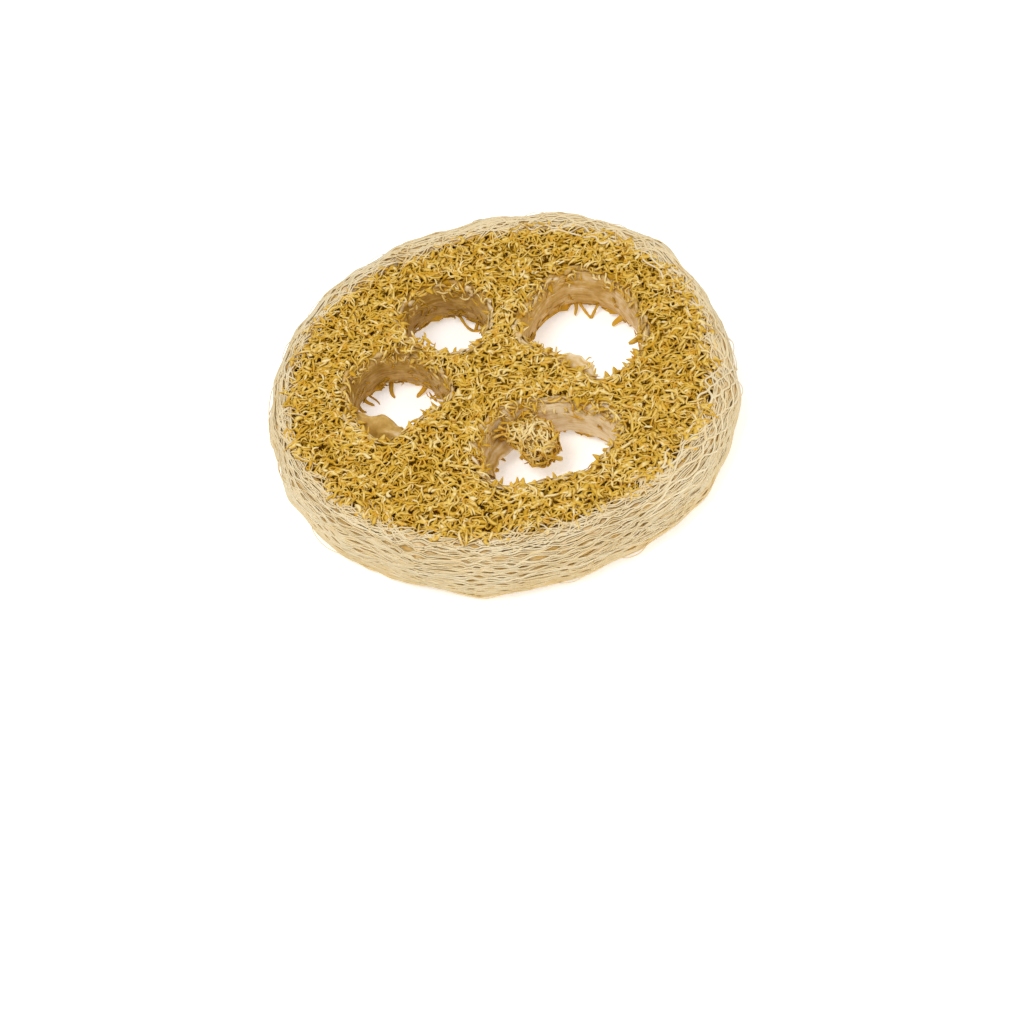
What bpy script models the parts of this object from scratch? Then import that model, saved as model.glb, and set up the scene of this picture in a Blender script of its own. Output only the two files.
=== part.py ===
"""A slice of dried loofah gourd, lying flat: a golden mat of fibres with four seed chambers
through it, in a pale skin of net that wraps the rim and laps a little over both cut faces.

Lengths below are millimetres; MM turns them to metres where a mesh is written.
The slice lies on Z = 0 with the middle of its box on the Z axis.
"""

import math

import bmesh
import bpy
import numpy as np
from mathutils.geometry import delaunay_2d_cdt

MM = 0.001
NAME = "loofah_sponge"

# Driving sizes of the slice
THICKNESS = 13.5
BELLY_RADIUS = 50.0
RIM_RADIUS_X = 44.8
RIM_RADIUS_Y = 43.0
GAP = 0.3
# The outline wavers: lobes round the slice, then their cosine and sine heights
WAVER = ((2, 0.02, 0.60), (3, -0.51, 0.05), (4, -0.32, -0.34), (5, -0.12, -0.21))

# Fibre mat: curly strands, larger than life, raised along chains of a three-way lattice.
# Depths are measured down from the cut plane, which the highest strands touch.
LATTICE_STEP = 1.65
LATTICE_JITTER = 0.25
BEND_HEIGHT = 1.3
BEND_LENGTH = 23.0
STRAND_STEPS = (3, 8)
TURN_CHANCE = 0.45
STRAND_DEPTH = (0.0, 0.3)
STRAND_END_DEPTH = (0.1, 0.8)
PIT_DEPTH = (1.9, 2.7)
FACE_EDGE_DEPTH = 0.8
RIM_MARGIN = 1.3

# Seed chambers: narrowest outline of each, anticlockwise, with the mat rolled over their rims
CHAMBERS = {
    "upper_left": ((-0.9, 19.5), (-1.8, 24.6), (-6.3, 28.8), (-11.5, 30.2), (-16.0, 27.9),
                   (-19.0, 23.5), (-18.0, 16.5), (-13.0, 11.2), (-8.4, 10.0), (-3.9, 11.8)),
    "upper_right": ((30.8, 8.0), (30.2, 15.4), (27.6, 21.2), (23.2, 25.9), (17.2, 27.3),
                    (11.0, 23.0), (7.0, 16.5), (6.8, 10.0), (11.0, 4.8), (15.6, -0.4),
                    (20.4, -4.0), (26.0, -2.2), (29.8, 3.0)),
    "left": ((-11.8, 1.5), (-14.3, 6.6), (-17.5, 10.8), (-21.5, 12.9), (-26.0, 12.3),
             (-30.4, 8.8), (-32.3, 3.5), (-31.6, -4.0), (-29.0, -8.9), (-25.8, -11.6),
             (-22.5, -10.2), (-17.8, -6.5), (-13.0, -3.2)),
    "front": ((21.8, -18.6), (18.8, -13.6), (13.0, -9.8), (7.5, -9.2), (2.0, -9.2),
              (-2.2, -10.2), (-5.8, -15.5), (-6.9, -21.5), (-5.0, -27.3), (-1.6, -29.6),
              (4.0, -29.2), (11.3, -28.7), (15.3, -27.0), (19.6, -23.0)),
}
CHAMBER_STEP = 2.2
ROLL_RADIUS = 3.0
WAIST = 0.5
# Ragged fibre ends on those rims: every second one is a tooth that may reach over the chamber
FRINGE_STEP = 1.7
FRINGE_MESHED_AT = 0.9
FRINGE_TOOTH = (-0.7, 1.3)
FRINGE_BACK = (0.7, 1.3)
FRINGE_DEPTH = (0.1, 1.3)
FRINGE_CLEAR = 1.9
# The seed stalk left in the front chamber: a knot on its far wall
KNOT_CENTRE = (5.2, -13.2, 6.2)
KNOT_RADII = (3.9, 5.6, 4.3)
KNOT_LUMPS = 0.15

# Spots of the underside that the knife left flush, round the weight: place and radius
SEATS = ((0.0, 0.0, 3.2), (38.0, -14.0, 3.0), (-14.0, 37.5, 3.0), (-30.0, -24.0, 3.0))

# Net skin: strands run round the rim in waves that meet and part, which leaves lens meshes
RIM_SEGMENTS = 80
NET_STRANDS = 8
NET_WAVES = 24
NET_COLUMNS = 5 * NET_WAVES
NET_SWING = 0.36
STRAND_FOOT = 0.24
NET_RELIEF = 0.95
NET_INSET = 0.2
NET_CORNER = 0.42
NET_DRIFT = (0.3, 0.8)
NET_OWN_SWING = 0.06
NET_OWN_WAVES = 7
FOOT_SHARE = 0.42
SINK_RAMP = (0.3, 0.8)
# Where skin and mat meet: steps out from the golden face's edge, and depths from the cut plane
LIP_THICKNESS = 1.9
LIP_STEP = 0.2
SHOULDER_DEPTH = 3.2
SHOULDER_STEP = 2.3
WALL_STEP = 2.7

MAT_COLOUR = (0.47, 0.29, 0.065, 1.0)
NET_COLOUR = (0.67, 0.53, 0.33, 1.0)


def clear_scene():
    for item in list(bpy.data.objects):
        bpy.data.objects.remove(item, do_unlink=True)


def matte(name, colour, roughness):
    material = bpy.data.materials.new(name)
    material.use_nodes = True
    shader = material.node_tree.nodes["Principled BSDF"]
    shader.inputs["Base Color"].default_value = colour
    shader.inputs["Roughness"].default_value = roughness
    shader.inputs["Metallic"].default_value = 0.0
    return material


def waver(turn):
    """Height of the outline's waver at each angle, in mm."""
    return sum(c * np.cos(n * turn) + s * np.sin(n * turn) for n, c, s in WAVER)


def belly_points(turn):
    """Points of the widest outline."""
    radius = BELLY_RADIUS + waver(turn)
    return np.stack([radius * np.cos(turn), radius * np.sin(turn)], axis=-1)


def rim_points(turn, out=0.0):
    """Points of the edge of the golden face, moved outwards by out."""
    wave = waver(turn) + out
    x = (RIM_RADIUS_X + wave) * np.cos(turn)
    y = (RIM_RADIUS_Y + wave) * np.sin(turn)
    return np.stack([x, y], axis=-1)


def turns(count):
    return np.arange(count) * (2.0 * math.pi / count)


def closed_curve(corners, count):
    """A smooth closed curve through the corners (Catmull-Rom), at equal steps."""
    p = np.array(corners, dtype=float)
    t = np.linspace(0.0, 1.0, 24, endpoint=False)[:, None]
    before, after, beyond = np.roll(p, 1, 0), np.roll(p, -1, 0), np.roll(p, -2, 0)
    spans = [
        0.5 * (2 * b + (c - a) * t + (2 * a - 5 * b + 4 * c - d) * t**2
               + (3 * b - a - 3 * c + d) * t**3)
        for a, b, c, d in zip(before, p, after, beyond)
    ]
    dense = np.concatenate(spans)
    around = np.concatenate([dense, dense[:1]])
    length = np.concatenate([[0.0], np.cumsum(np.hypot(*np.diff(around, axis=0).T))])
    at = np.linspace(0.0, length[-1], count, endpoint=False)
    return np.stack([np.interp(at, length, around[:, k]) for k in (0, 1)], axis=-1)


def outward(loop):
    """Unit normals in the plane of an anticlockwise loop, pointing out of it."""
    along = np.roll(loop, -1, 0) - np.roll(loop, 1, 0)
    along /= np.linalg.norm(along, axis=1)[:, None]
    return np.stack([along[:, 1], -along[:, 0]], axis=-1)


def perimeter(loop):
    return np.hypot(*(np.roll(loop, -1, 0) - loop).T).sum()


def chamber_loops(step):
    """Every chamber's outline with points about a step apart."""
    loops = []
    for corners in CHAMBERS.values():
        count = round(perimeter(closed_curve(corners, 300)) / step)
        loops.append(closed_curve(corners, count))
    return loops


def within(points, loop):
    """True for each point that the loop encloses: a ray from it crosses the loop an odd
    number of times."""
    a, b = loop, np.roll(loop, -1, 0)
    x, y = points[:, 0, None], points[:, 1, None]
    spans = (a[:, 1] > y) != (b[:, 1] > y)
    rise = np.where(b[:, 1] == a[:, 1], 1.0, b[:, 1] - a[:, 1])
    cross = a[:, 0] + (y - a[:, 1]) * (b[:, 0] - a[:, 0]) / rise
    return (spans & (x < cross)).sum(axis=1) % 2 == 1


def distance_to(points, loops):
    """Distance from each point to the nearest loop, less than zero inside one."""
    best = np.full(len(points), np.inf)
    for loop in loops:
        offset = points[:, None, :] - loop[None, :, :]
        length = np.linalg.norm(offset, axis=2)
        near = length.argmin(axis=1)
        rows = np.arange(len(points))
        side = (offset[rows, near] * outward(loop)[near]).sum(axis=1)
        best = np.minimum(best, np.where(side < 0, -1.0, 1.0) * length[rows, near])
    return best


def grow_strands(rng, places):
    """Raises strands on the lattice: each starts at a free point and steps from neighbour to
    neighbour, bending now and then, and keeps a low point between itself and the others.
    Returns each point's depth below the cut plane."""
    ways = ((1, 0), (0, 1), (-1, 1), (-1, 0), (0, -1), (1, -1))
    index = {place: k for k, place in enumerate(places)}
    depth = rng.uniform(*PIT_DEPTH, len(places))
    taken = {}

    def around(place):
        return [(place[0] + i, place[1] + j) for i, j in ways]

    for start in rng.permutation(len(places)):
        place = places[start]
        if place in taken or any(near in taken for near in around(place)):
            continue
        heading = int(rng.integers(6))
        strand = [place]
        for _ in range(int(rng.integers(*STRAND_STEPS))):
            if rng.random() < TURN_CHANCE:
                heading += int(rng.choice((-1, 1)))
            step = ways[heading % 6]
            place = (strand[-1][0] + step[0], strand[-1][1] + step[1])
            crowded = any(near in taken for near in around(place))
            if place not in index or place in taken or place in strand or crowded:
                break
            strand.append(place)
        for place in strand:
            taken[place] = True
            ends = place in (strand[0], strand[-1])
            depth[index[place]] = rng.uniform(*(STRAND_END_DEPTH if ends else STRAND_DEPTH))
    return depth


def mat_lattice(rng, dense_loops):
    """Lattice points of one face, and how far each lies below the cut plane."""
    reach = int(1.2 * BELLY_RADIUS / LATTICE_STEP)
    i, j = np.meshgrid(np.arange(-2 * reach, 2 * reach), np.arange(-reach, reach))
    i, j = i.ravel(), j.ravel()
    x = LATTICE_STEP * (i + 0.5 * j)
    y = LATTICE_STEP * (math.sqrt(3.0) / 2.0) * j
    wave = 2.0 * math.pi / BEND_LENGTH
    phase = rng.uniform(0.0, 2.0 * math.pi, 2)
    bent = np.stack(
        [x + BEND_HEIGHT * np.sin(wave * y + phase[0]), y + BEND_HEIGHT * np.sin(wave * x + phase[1])],
        axis=-1,
    )
    bent += rng.uniform(-LATTICE_JITTER, LATTICE_JITTER, bent.shape)
    turn = np.arctan2(bent[:, 1] / RIM_RADIUS_Y, bent[:, 0] / RIM_RADIUS_X)
    edge = np.linalg.norm(rim_points(turn), axis=1)
    inside = np.linalg.norm(bent, axis=1) < edge - RIM_MARGIN
    keep = inside & (distance_to(bent, dense_loops) > FRINGE_CLEAR)
    depth = grow_strands(rng, list(zip(i[keep].tolist(), j[keep].tolist())))
    return bent[keep], depth


def roll_depth(distance):
    """How far the mat rolls down towards a chamber: a quarter circle of ROLL_RADIUS."""
    reach = np.clip(ROLL_RADIUS - distance, 0.0, ROLL_RADIUS)
    return ROLL_RADIUS - np.sqrt(ROLL_RADIUS**2 - reach**2)


def mat_face(rng, rim, loops, dense_loops, seats):
    """One cut face as points and triangles. Depths are measured down from the cut plane."""
    lattice, depth = mat_lattice(rng, dense_loops)
    fringe, fringe_end, fringe_depth = fringe_points(rng)
    flat = np.concatenate([rim, *loops, fringe, lattice])
    edges = []
    start = 0
    for loop in (rim, *loops):
        steps = np.arange(len(loop))
        edges += [(start + a, start + (a + 1) % len(loop)) for a in steps]
        start += len(loop)
    made = delaunay_2d_cdt([tuple(p) for p in flat], edges, [], 0, 1e-6, True)
    if len(made[0]) != len(flat):
        raise ValueError("the face's points fell together")
    order = np.array([source[0] for source in made[3]])
    triangles = order[np.array(made[2])]
    middles = flat[triangles].mean(axis=1)
    held = within(middles, rim)
    for loop in loops:
        held &= ~within(middles, loop)
    triangles = triangles[held]
    depth += roll_depth(distance_to(lattice, dense_loops))
    for x, y, radius in seats:
        depth[np.hypot(lattice[:, 0] - x, lattice[:, 1] - y) < radius] = 0.0
    loop_depth = [np.full(len(loop), ROLL_RADIUS) for loop in loops]
    edge_depth = np.full(len(rim), FACE_EDGE_DEPTH)
    depths = np.concatenate([edge_depth, *loop_depth, fringe_depth, depth])
    places = np.concatenate([rim, *loops, fringe_end, lattice])
    return flat, places, depths, triangles


def fringe_points(rng):
    """Ragged fibre ends round every chamber: a ring of points where the mat is meshed, where
    each ends up in or out of the chamber's outline, and how far below the cut plane."""
    meshed, ends = [], []
    for loop in chamber_loops(FRINGE_STEP):
        out = rng.uniform(*FRINGE_TOOTH, len(loop))
        out[1::2] = rng.uniform(*FRINGE_BACK, len(out[1::2]))
        meshed.append(loop + outward(loop) * FRINGE_MESHED_AT)
        ends.append(loop + outward(loop) * out[:, None])
    points = np.concatenate(meshed)
    return points, np.concatenate(ends), rng.uniform(*FRINGE_DEPTH, len(points))


def add_ring(bm, flat, heights):
    """Vertices at the plane points and heights given."""
    return [bm.verts.new((x * MM, y * MM, z * MM)) for (x, y), z in zip(flat, heights)]


def wall_between(bm, upper, lower, outwards):
    """Quads between two rings of as many points. Outwards is true on the slice's own rim."""
    count = len(upper)
    for a in range(count):
        b = (a + 1) % count
        corners = (upper[a], lower[a], lower[b], upper[b])
        bm.faces.new(corners if outwards else corners[::-1])


def make_mat():
    """The golden body: two cut faces joined by the rim's wall and by each chamber's wall."""
    rng = np.random.default_rng(27)
    rim = rim_points(turns(RIM_SEGMENTS))
    loops = chamber_loops(CHAMBER_STEP)
    dense_loops = [closed_curve(c, 240) for c in CHAMBERS.values()]
    bm = bmesh.new()
    borders = []
    for top in (True, False):
        flat, places, depths, triangles = mat_face(
            rng, rim, loops, dense_loops, () if top else SEATS
        )
        verts = add_ring(bm, places, THICKNESS - depths if top else depths)
        for corners in triangles:
            p, q, r = flat[corners]
            turned = (q[0] - p[0]) * (r[1] - p[1]) - (q[1] - p[1]) * (r[0] - p[0]) > 0
            order = corners if turned == top else corners[::-1]
            bm.faces.new([verts[k] for k in order])
        borders.append(verts)
    add_rim_wall(bm, borders)
    add_chamber_walls(bm, borders, loops)
    return finish_mesh(bm, "fibre_mat")


def add_rim_wall(bm, borders):
    """The rim's wall: in under the skin's lips, then out to the skin's wall."""
    above, below = (ring[:RIM_SEGMENTS] for ring in borders)
    turn = turns(RIM_SEGMENTS)
    rows = [(LIP_STEP, THICKNESS - LIP_THICKNESS - NET_INSET - GAP)]
    rows += [(SHOULDER_STEP, THICKNESS - SHOULDER_DEPTH), (WALL_STEP, THICKNESS / 2)]
    rows += [(out, THICKNESS - z) for out, z in rows[1::-1]]
    upper = above
    for out, z in rows:
        lower = add_ring(bm, rim_points(turn, out), np.full(RIM_SEGMENTS, z))
        wall_between(bm, upper, lower, True)
        upper = lower
    wall_between(bm, upper, below, True)


def add_chamber_walls(bm, borders, loops):
    """Each chamber's smooth wall, drawn in a little half way down."""
    start = RIM_SEGMENTS
    for loop in loops:
        upper, lower = (ring[start:start + len(loop)] for ring in borders)
        waist = loop - outward(loop) * WAIST
        middle = add_ring(bm, waist, np.full(len(loop), THICKNESS / 2))
        wall_between(bm, upper, middle, False)
        wall_between(bm, middle, lower, False)
        start += len(loop)


def apply_modifiers(item):
    """Makes the evaluated shape of an object its own mesh."""
    bpy.context.view_layer.update()
    graph = bpy.context.evaluated_depsgraph_get()
    made = bpy.data.meshes.new_from_object(item.evaluated_get(graph))
    item.modifiers.clear()
    item.data = made


def finish_mesh(bm, name):
    mesh = bpy.data.meshes.new(name)
    bm.to_mesh(mesh)
    bm.free()
    item = bpy.data.objects.new(name, mesh)
    bpy.data.collections[NAME].objects.link(item)
    return item


def make_knot(rng):
    """The seed stalk's knot: an icosphere stretched and lumped."""
    bm = bmesh.new()
    bmesh.ops.create_icosphere(bm, subdivisions=3, radius=1.0)
    for vert in bm.verts:
        grown = np.array(vert.co) * (1.0 + KNOT_LUMPS * rng.uniform(-1.0, 1.0))
        vert.co = (np.array(KNOT_CENTRE) + grown * np.array(KNOT_RADII)) * MM
    return finish_mesh(bm, "knot")


def join(item, other):
    """Fuses other into item and removes other."""
    union = item.modifiers.new("union", "BOOLEAN")
    union.operation = "UNION"
    union.solver = "EXACT"
    union.object = other
    apply_modifiers(item)
    bpy.data.objects.remove(other, do_unlink=True)


def section_rows(count):
    """The skin's outer section from the top lip over the belly to the bottom lip, at equal
    steps: how far out between rim and belly (0 to 1), and height."""
    turn = np.linspace(math.pi / 2, -math.pi / 2, 400)
    half = THICKNESS / 2 - NET_INSET
    out = np.abs(np.cos(turn)) ** NET_CORNER
    z = THICKNESS / 2 + half * np.sign(np.sin(turn)) * np.abs(np.sin(turn)) ** (2 * NET_CORNER)
    wide = BELLY_RADIUS - RIM_RADIUS_X
    length = np.concatenate([[0.0], np.cumsum(np.hypot(wide * np.diff(out), np.diff(z)))])
    length /= length[-1]
    return np.interp(count, length, out), np.interp(count, length, z)


def net_rows(turn):
    """Rows of the net at each angle: their places along the section, from 0 to 1, and how far
    each sinks. A strand is a crest between two feet, and the feet sink where it stands free."""
    rng = np.random.default_rng(8)
    drift = sum(
        rng.uniform(*NET_DRIFT) * np.sin(n * turn + rng.uniform(0.0, 2.0 * math.pi))
        for n in (2, 3, 5)
    )
    swing = NET_SWING * np.sin(NET_WAVES * turn + drift)
    strand = np.arange(NET_STRANDS)[:, None]
    phase = rng.uniform(0.0, 2.0 * math.pi, (NET_STRANDS, 1))
    own = NET_OWN_SWING * np.sin(NET_OWN_WAVES * turn + phase)
    crest = strand + 0.5 + np.where(strand % 2 == 0, swing, -swing) + own
    between = np.diff(crest, axis=0)
    foot = np.minimum(STRAND_FOOT, FOOT_SHARE * between)
    rows = np.empty((3 * NET_STRANDS - 2, len(turn)))
    rows[0::3] = crest
    rows[1::3] = crest[:-1] + foot
    rows[2::3] = crest[1:] - foot
    sunk = np.zeros_like(rows)
    apart = (between - SINK_RAMP[0]) / (SINK_RAMP[1] - SINK_RAMP[0])
    sunk[1::3] = sunk[2::3] = NET_RELIEF * np.clip(apart, 0.0, 1.0)
    return rows / NET_STRANDS, sunk


def make_net():
    """The pale skin: a torus primitive whose points are moved on to the skin's section, with
    its strands raised from it."""
    turn = turns(NET_COLUMNS)
    rows, sunk = net_rows(turn)
    under_lip = [
        (LIP_STEP + GAP, LIP_THICKNESS + NET_INSET),
        (SHOULDER_STEP + GAP, SHOULDER_DEPTH - GAP),
    ]
    over_lip = [(step, THICKNESS - height) for step, height in under_lip[::-1]]
    inner = [*under_lip, (WALL_STEP + GAP, THICKNESS / 2), *over_lip]
    minor = len(rows) + 2 + len(inner)
    bpy.ops.mesh.primitive_torus_add(
        major_segments=NET_COLUMNS, minor_segments=minor, major_radius=1.0, minor_radius=0.2
    )
    item = bpy.context.object
    item.name = item.data.name = "net_skin"
    edge = rim_points(turn, GAP)
    belly = belly_points(turn)
    places = np.zeros((NET_COLUMNS, minor, 3))
    along = np.concatenate([np.zeros((1, NET_COLUMNS)), rows, np.ones((1, NET_COLUMNS))])
    deep = np.concatenate([np.zeros((1, NET_COLUMNS)), sunk, np.zeros((1, NET_COLUMNS))])
    out, z = section_rows(along)
    # A valley sinks towards the middle of the skin's section
    slope_out, slope_z = section_rows(np.clip(along + 0.01, 0, 1))
    back_out, back_z = section_rows(np.clip(along - 0.01, 0, 1))
    width = np.linalg.norm(belly - edge, axis=1)
    dr, dz = (slope_out - back_out) * width, slope_z - back_z
    size = np.hypot(dr, dz)
    nr, nz = -dz / size, dr / size
    radial = (belly - edge) / width[:, None]
    reach = out * width - nr * deep
    places[:, :len(along), :2] = edge[:, None] + radial[:, None] * reach.T[:, :, None]
    places[:, :len(along), 2] = (z - nz * deep).T
    for k, (step, height) in enumerate(inner):
        places[:, len(along) + k, :2] = rim_points(turn, step)
        places[:, len(along) + k, 2] = height
    # The primitive's rings run anticlockwise seen along its turn, so the section is laid in reverse
    item.data.vertices.foreach_set("co", (places[:, ::-1] * MM).ravel())
    item.data.update()
    for holder in list(item.users_collection):
        holder.objects.unlink(item)
    bpy.data.collections[NAME].objects.link(item)
    return item


def settle(items):
    """Moves the slice so that the middle of its box is on the Z axis and its lowest point at 0."""
    boxes = []
    for item in items:
        flat = np.empty(len(item.data.vertices) * 3, dtype=np.float32)
        item.data.vertices.foreach_get("co", flat)
        boxes.append(flat.reshape(-1, 3))
    low = np.min([box.min(axis=0) for box in boxes], axis=0)
    high = np.max([box.max(axis=0) for box in boxes], axis=0)
    move = np.array([(low[0] + high[0]) / 2, (low[1] + high[1]) / 2, low[2]])
    for item, box in zip(items, boxes):
        item.data.vertices.foreach_set("co", (box - move).ravel())
        item.data.update()


def main():
    clear_scene()
    bpy.context.scene.collection.children.link(bpy.data.collections.new(NAME))
    mat = make_mat()
    join(mat, make_knot(np.random.default_rng(5)))
    net = make_net()
    settle([mat, net])
    mat.data.materials.clear()
    mat.data.materials.append(matte("golden_fibre", MAT_COLOUR, 0.85))
    net.data.materials.append(matte("pale_net", NET_COLOUR, 0.8))


main()
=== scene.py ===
# %% [markdown]
# # A slice of dried loofah gourd
# The ripe gourd dries to a bundle of plant fibre. Cut across, it shows two kinds: a golden,
# curly mat round four seed chambers, and a pale net of long strands round the outside. Both are
# made here from strands: tubes of a few sides swept along thousands of worked-out paths.

# %% Frame
import math

import bmesh
import bpy
import numpy as np
from mathutils import Matrix


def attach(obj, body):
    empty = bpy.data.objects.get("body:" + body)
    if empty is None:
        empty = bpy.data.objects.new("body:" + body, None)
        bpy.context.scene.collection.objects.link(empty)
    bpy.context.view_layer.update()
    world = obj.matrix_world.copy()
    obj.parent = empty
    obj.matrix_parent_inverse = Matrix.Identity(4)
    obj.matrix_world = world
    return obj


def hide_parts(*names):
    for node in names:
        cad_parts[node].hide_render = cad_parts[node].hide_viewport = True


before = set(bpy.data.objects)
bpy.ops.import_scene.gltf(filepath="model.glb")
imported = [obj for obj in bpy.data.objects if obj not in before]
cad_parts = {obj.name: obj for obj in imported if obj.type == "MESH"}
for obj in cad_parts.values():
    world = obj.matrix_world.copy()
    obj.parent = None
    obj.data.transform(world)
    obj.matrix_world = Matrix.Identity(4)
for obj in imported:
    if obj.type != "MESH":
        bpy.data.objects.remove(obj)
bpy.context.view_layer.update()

# %% [markdown]
# ## Small tools
# Points are kept in arrays whose last axis holds the coordinates, so one line works on thousands
# of them at once. All lengths are millimetres, and MM turns them to metres where Blender gets
# them. These few functions come back all through the script.

# %% Small tools
MM = 0.001


def unit(vectors):
    """Vectors scaled to length one."""
    return vectors / np.maximum(np.linalg.norm(vectors, axis=-1, keepdims=True), 1e-9)


def between(first, second, share):
    """What lies a share of the way from the first to the second."""
    return first * (1 - share) + second * share


def raised(flat, height):
    """Flat points with a height added to each as one more coordinate."""
    return np.concatenate([flat, height[..., None]], axis=-1)


def arch(t):
    """Half a sine wave: nought where t is 0 or 1, and one in the middle."""
    return np.sin(np.pi * t)


def add_object(name, data):
    """A new object in the scene for a mesh, lamp or camera."""
    item = bpy.data.objects.new(name, data)
    bpy.context.scene.collection.objects.link(item)
    return item


def stood_at(axes, place):
    """Matrix that stands an object at a place, in metres, with these three axes."""
    matrix = np.eye(4)
    matrix[:3, :3] = np.stack(axes, axis=1)
    matrix[:3, 3] = place
    return Matrix(matrix)


# %% [markdown]
# ## Sizes
# The outline is a circle that wavers a little, as a gourd's does: a few low waves added to its
# radius. The golden face has the same waver round a smaller ellipse.

# %% Sizes and outlines
THICKNESS = 13.5
BELLY_RADIUS = 50.0
RIM_RADIUS = (44.8, 43.0)
WAVER = ((2, 0.02, 0.60), (3, -0.51, 0.05), (4, -0.32, -0.34), (5, -0.12, -0.21))
OUTLINE_POINTS = 720


def waver(turn):
    """Height of the outline's waver: cosine and sine waves of two to five lobes, summed."""
    return sum(c * np.cos(n * turn) + s * np.sin(n * turn) for n, c, s in WAVER)


def ring(turn, radii, out=0.0):
    """Ellipse of the two radii, each point moved out by the waver and by `out`."""
    wave = waver(turn) + out
    return np.stack([(radii[0] + wave) * np.cos(turn), (radii[1] + wave) * np.sin(turn)], axis=-1)


def middle_of(points):
    """Middle of the box that holds the points."""
    return (points.min(axis=0) + points.max(axis=0)) / 2


TURNS = np.linspace(0.0, 2.0 * np.pi, OUTLINE_POINTS, endpoint=False)
CENTRE = -middle_of(ring(TURNS, (BELLY_RADIUS, BELLY_RADIUS)))
print("outline's own centre lies at", CENTRE.round(2), "mm")

# %% [markdown]
# ## Camera
# The camera looks down on the slice from the front at the height, roll and distance that the
# ellipse of the golden face gives. It is turned a little so that the slice falls on its place
# in a square frame, and its lens is long, so the far rim is hardly smaller than the near one.

# %% Camera
ELEVATION = math.radians(47.4)
ROLL = math.radians(-9.7)
DISTANCE = 513.3
LENS = 85.0
SENSOR = 36.0
FRAME_SIDE = 1024
AIM_PIXEL = (504.7, 395.0)
NEAREST_SEEN = 0.01


def turned(a, b, angle):
    """Two perpendicular unit vectors, turned in their plane by the angle."""
    c, s = math.cos(angle), math.sin(angle)
    return c * a + s * b, c * b - s * a


def make_camera():
    """A camera on the back vector, rolled, then turned until the slice's centre meets its pixel."""
    back = np.array([0.0, -math.cos(ELEVATION), math.sin(ELEVATION)])
    right = np.array([1.0, 0.0, 0.0])
    up = np.cross(back, right)
    right, up = turned(right, up, ROLL)
    eye = np.array([*CENTRE, THICKNESS / 2]) + back * DISTANCE
    focal = LENS / SENSOR * FRAME_SIDE
    back, up = turned(back, up, math.atan2(FRAME_SIDE / 2 - AIM_PIXEL[1], focal))
    right, back = turned(right, back, math.atan2(FRAME_SIDE / 2 - AIM_PIXEL[0], focal))
    camera = add_object("camera", bpy.data.cameras.new("camera"))
    camera.data.lens = LENS
    camera.data.sensor_width = SENSOR
    camera.data.clip_start = NEAREST_SEEN
    camera.matrix_world = stood_at((right, up, back), eye * MM)
    return camera


camera = make_camera()
bpy.context.scene.camera = camera
print("camera at", [round(value, 3) for value in camera.matrix_world.translation])

# %% [markdown]
# ## Floor and light
# A white floor that runs out of sight, a white sky, and two large soft lamps, as for a catalogue
# picture. Large lamps give soft shade between the fibres and no hard edge on the floor. The
# floor gives off a little light of its own, so that it stays white in the slice's shade.

# %% Floor and light
FLOOR_HALF = 4.0
FLOOR_GLOW = 0.42
FLOOR_GREY = 0.92
FLOOR_ROUGHNESS = 0.9
SKY_STRENGTH = 0.62
WHITE = (1.0, 1.0, 1.0, 1.0)
LAMPS = (
    ("key_lamp", (-0.4, -0.25, 1.0), 0.5, 5.0),
    ("fill_lamp", (0.75, -0.45, 0.5), 0.8, 2.3),
)


def make_floor(half):
    """A square floor at the height on which the slice rests."""
    mesh = bpy.data.meshes.new("floor")
    corners = [(-half, -half, 0), (half, -half, 0), (half, half, 0), (-half, half, 0)]
    mesh.from_pydata(corners, [], [(0, 1, 2, 3)])
    floor = add_object("floor", mesh)
    paint = bpy.data.materials.new("white_floor")
    paint.use_nodes = True
    shader = paint.node_tree.nodes["Principled BSDF"]
    shader.inputs["Base Color"].default_value = (FLOOR_GREY, FLOOR_GREY, FLOOR_GREY, 1.0)
    shader.inputs["Roughness"].default_value = FLOOR_ROUGHNESS
    shader.inputs["Emission Color"].default_value = WHITE
    shader.inputs["Emission Strength"].default_value = FLOOR_GLOW
    mesh.materials.append(paint)


def add_lamp(name, place, size, power):
    """A square area lamp that faces the slice: its back is the unit vector to its place."""
    lamp = bpy.data.lights.new(name, "AREA")
    lamp.size = size
    lamp.energy = power
    back = np.array(place) / np.linalg.norm(place)
    right = np.cross([0.0, 0.0, 1.0], back)
    right /= np.linalg.norm(right)
    add_object(name, lamp).matrix_world = stood_at((right, np.cross(back, right), back), place)


make_floor(FLOOR_HALF)
for lamp in LAMPS:
    add_lamp(*lamp)
world = bpy.data.worlds.new("sky")
bpy.context.scene.world = world
world.use_nodes = True
world.node_tree.nodes["Background"].inputs["Color"].default_value = WHITE
world.node_tree.nodes["Background"].inputs["Strength"].default_value = SKY_STRENGTH
bpy.context.scene.view_settings.view_transform = "Standard"
print("lamps", [item.name for item in bpy.data.lights])

# %% [markdown]
# ## Seed chambers
# Each chamber is a closed smooth curve through a few points, read anticlockwise. The mat rolls
# over its rim on both faces with a quarter circle, so how deep the face lies depends only on the
# distance to the nearest curve. That distance is worked out once on a grid and then read from it.

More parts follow.
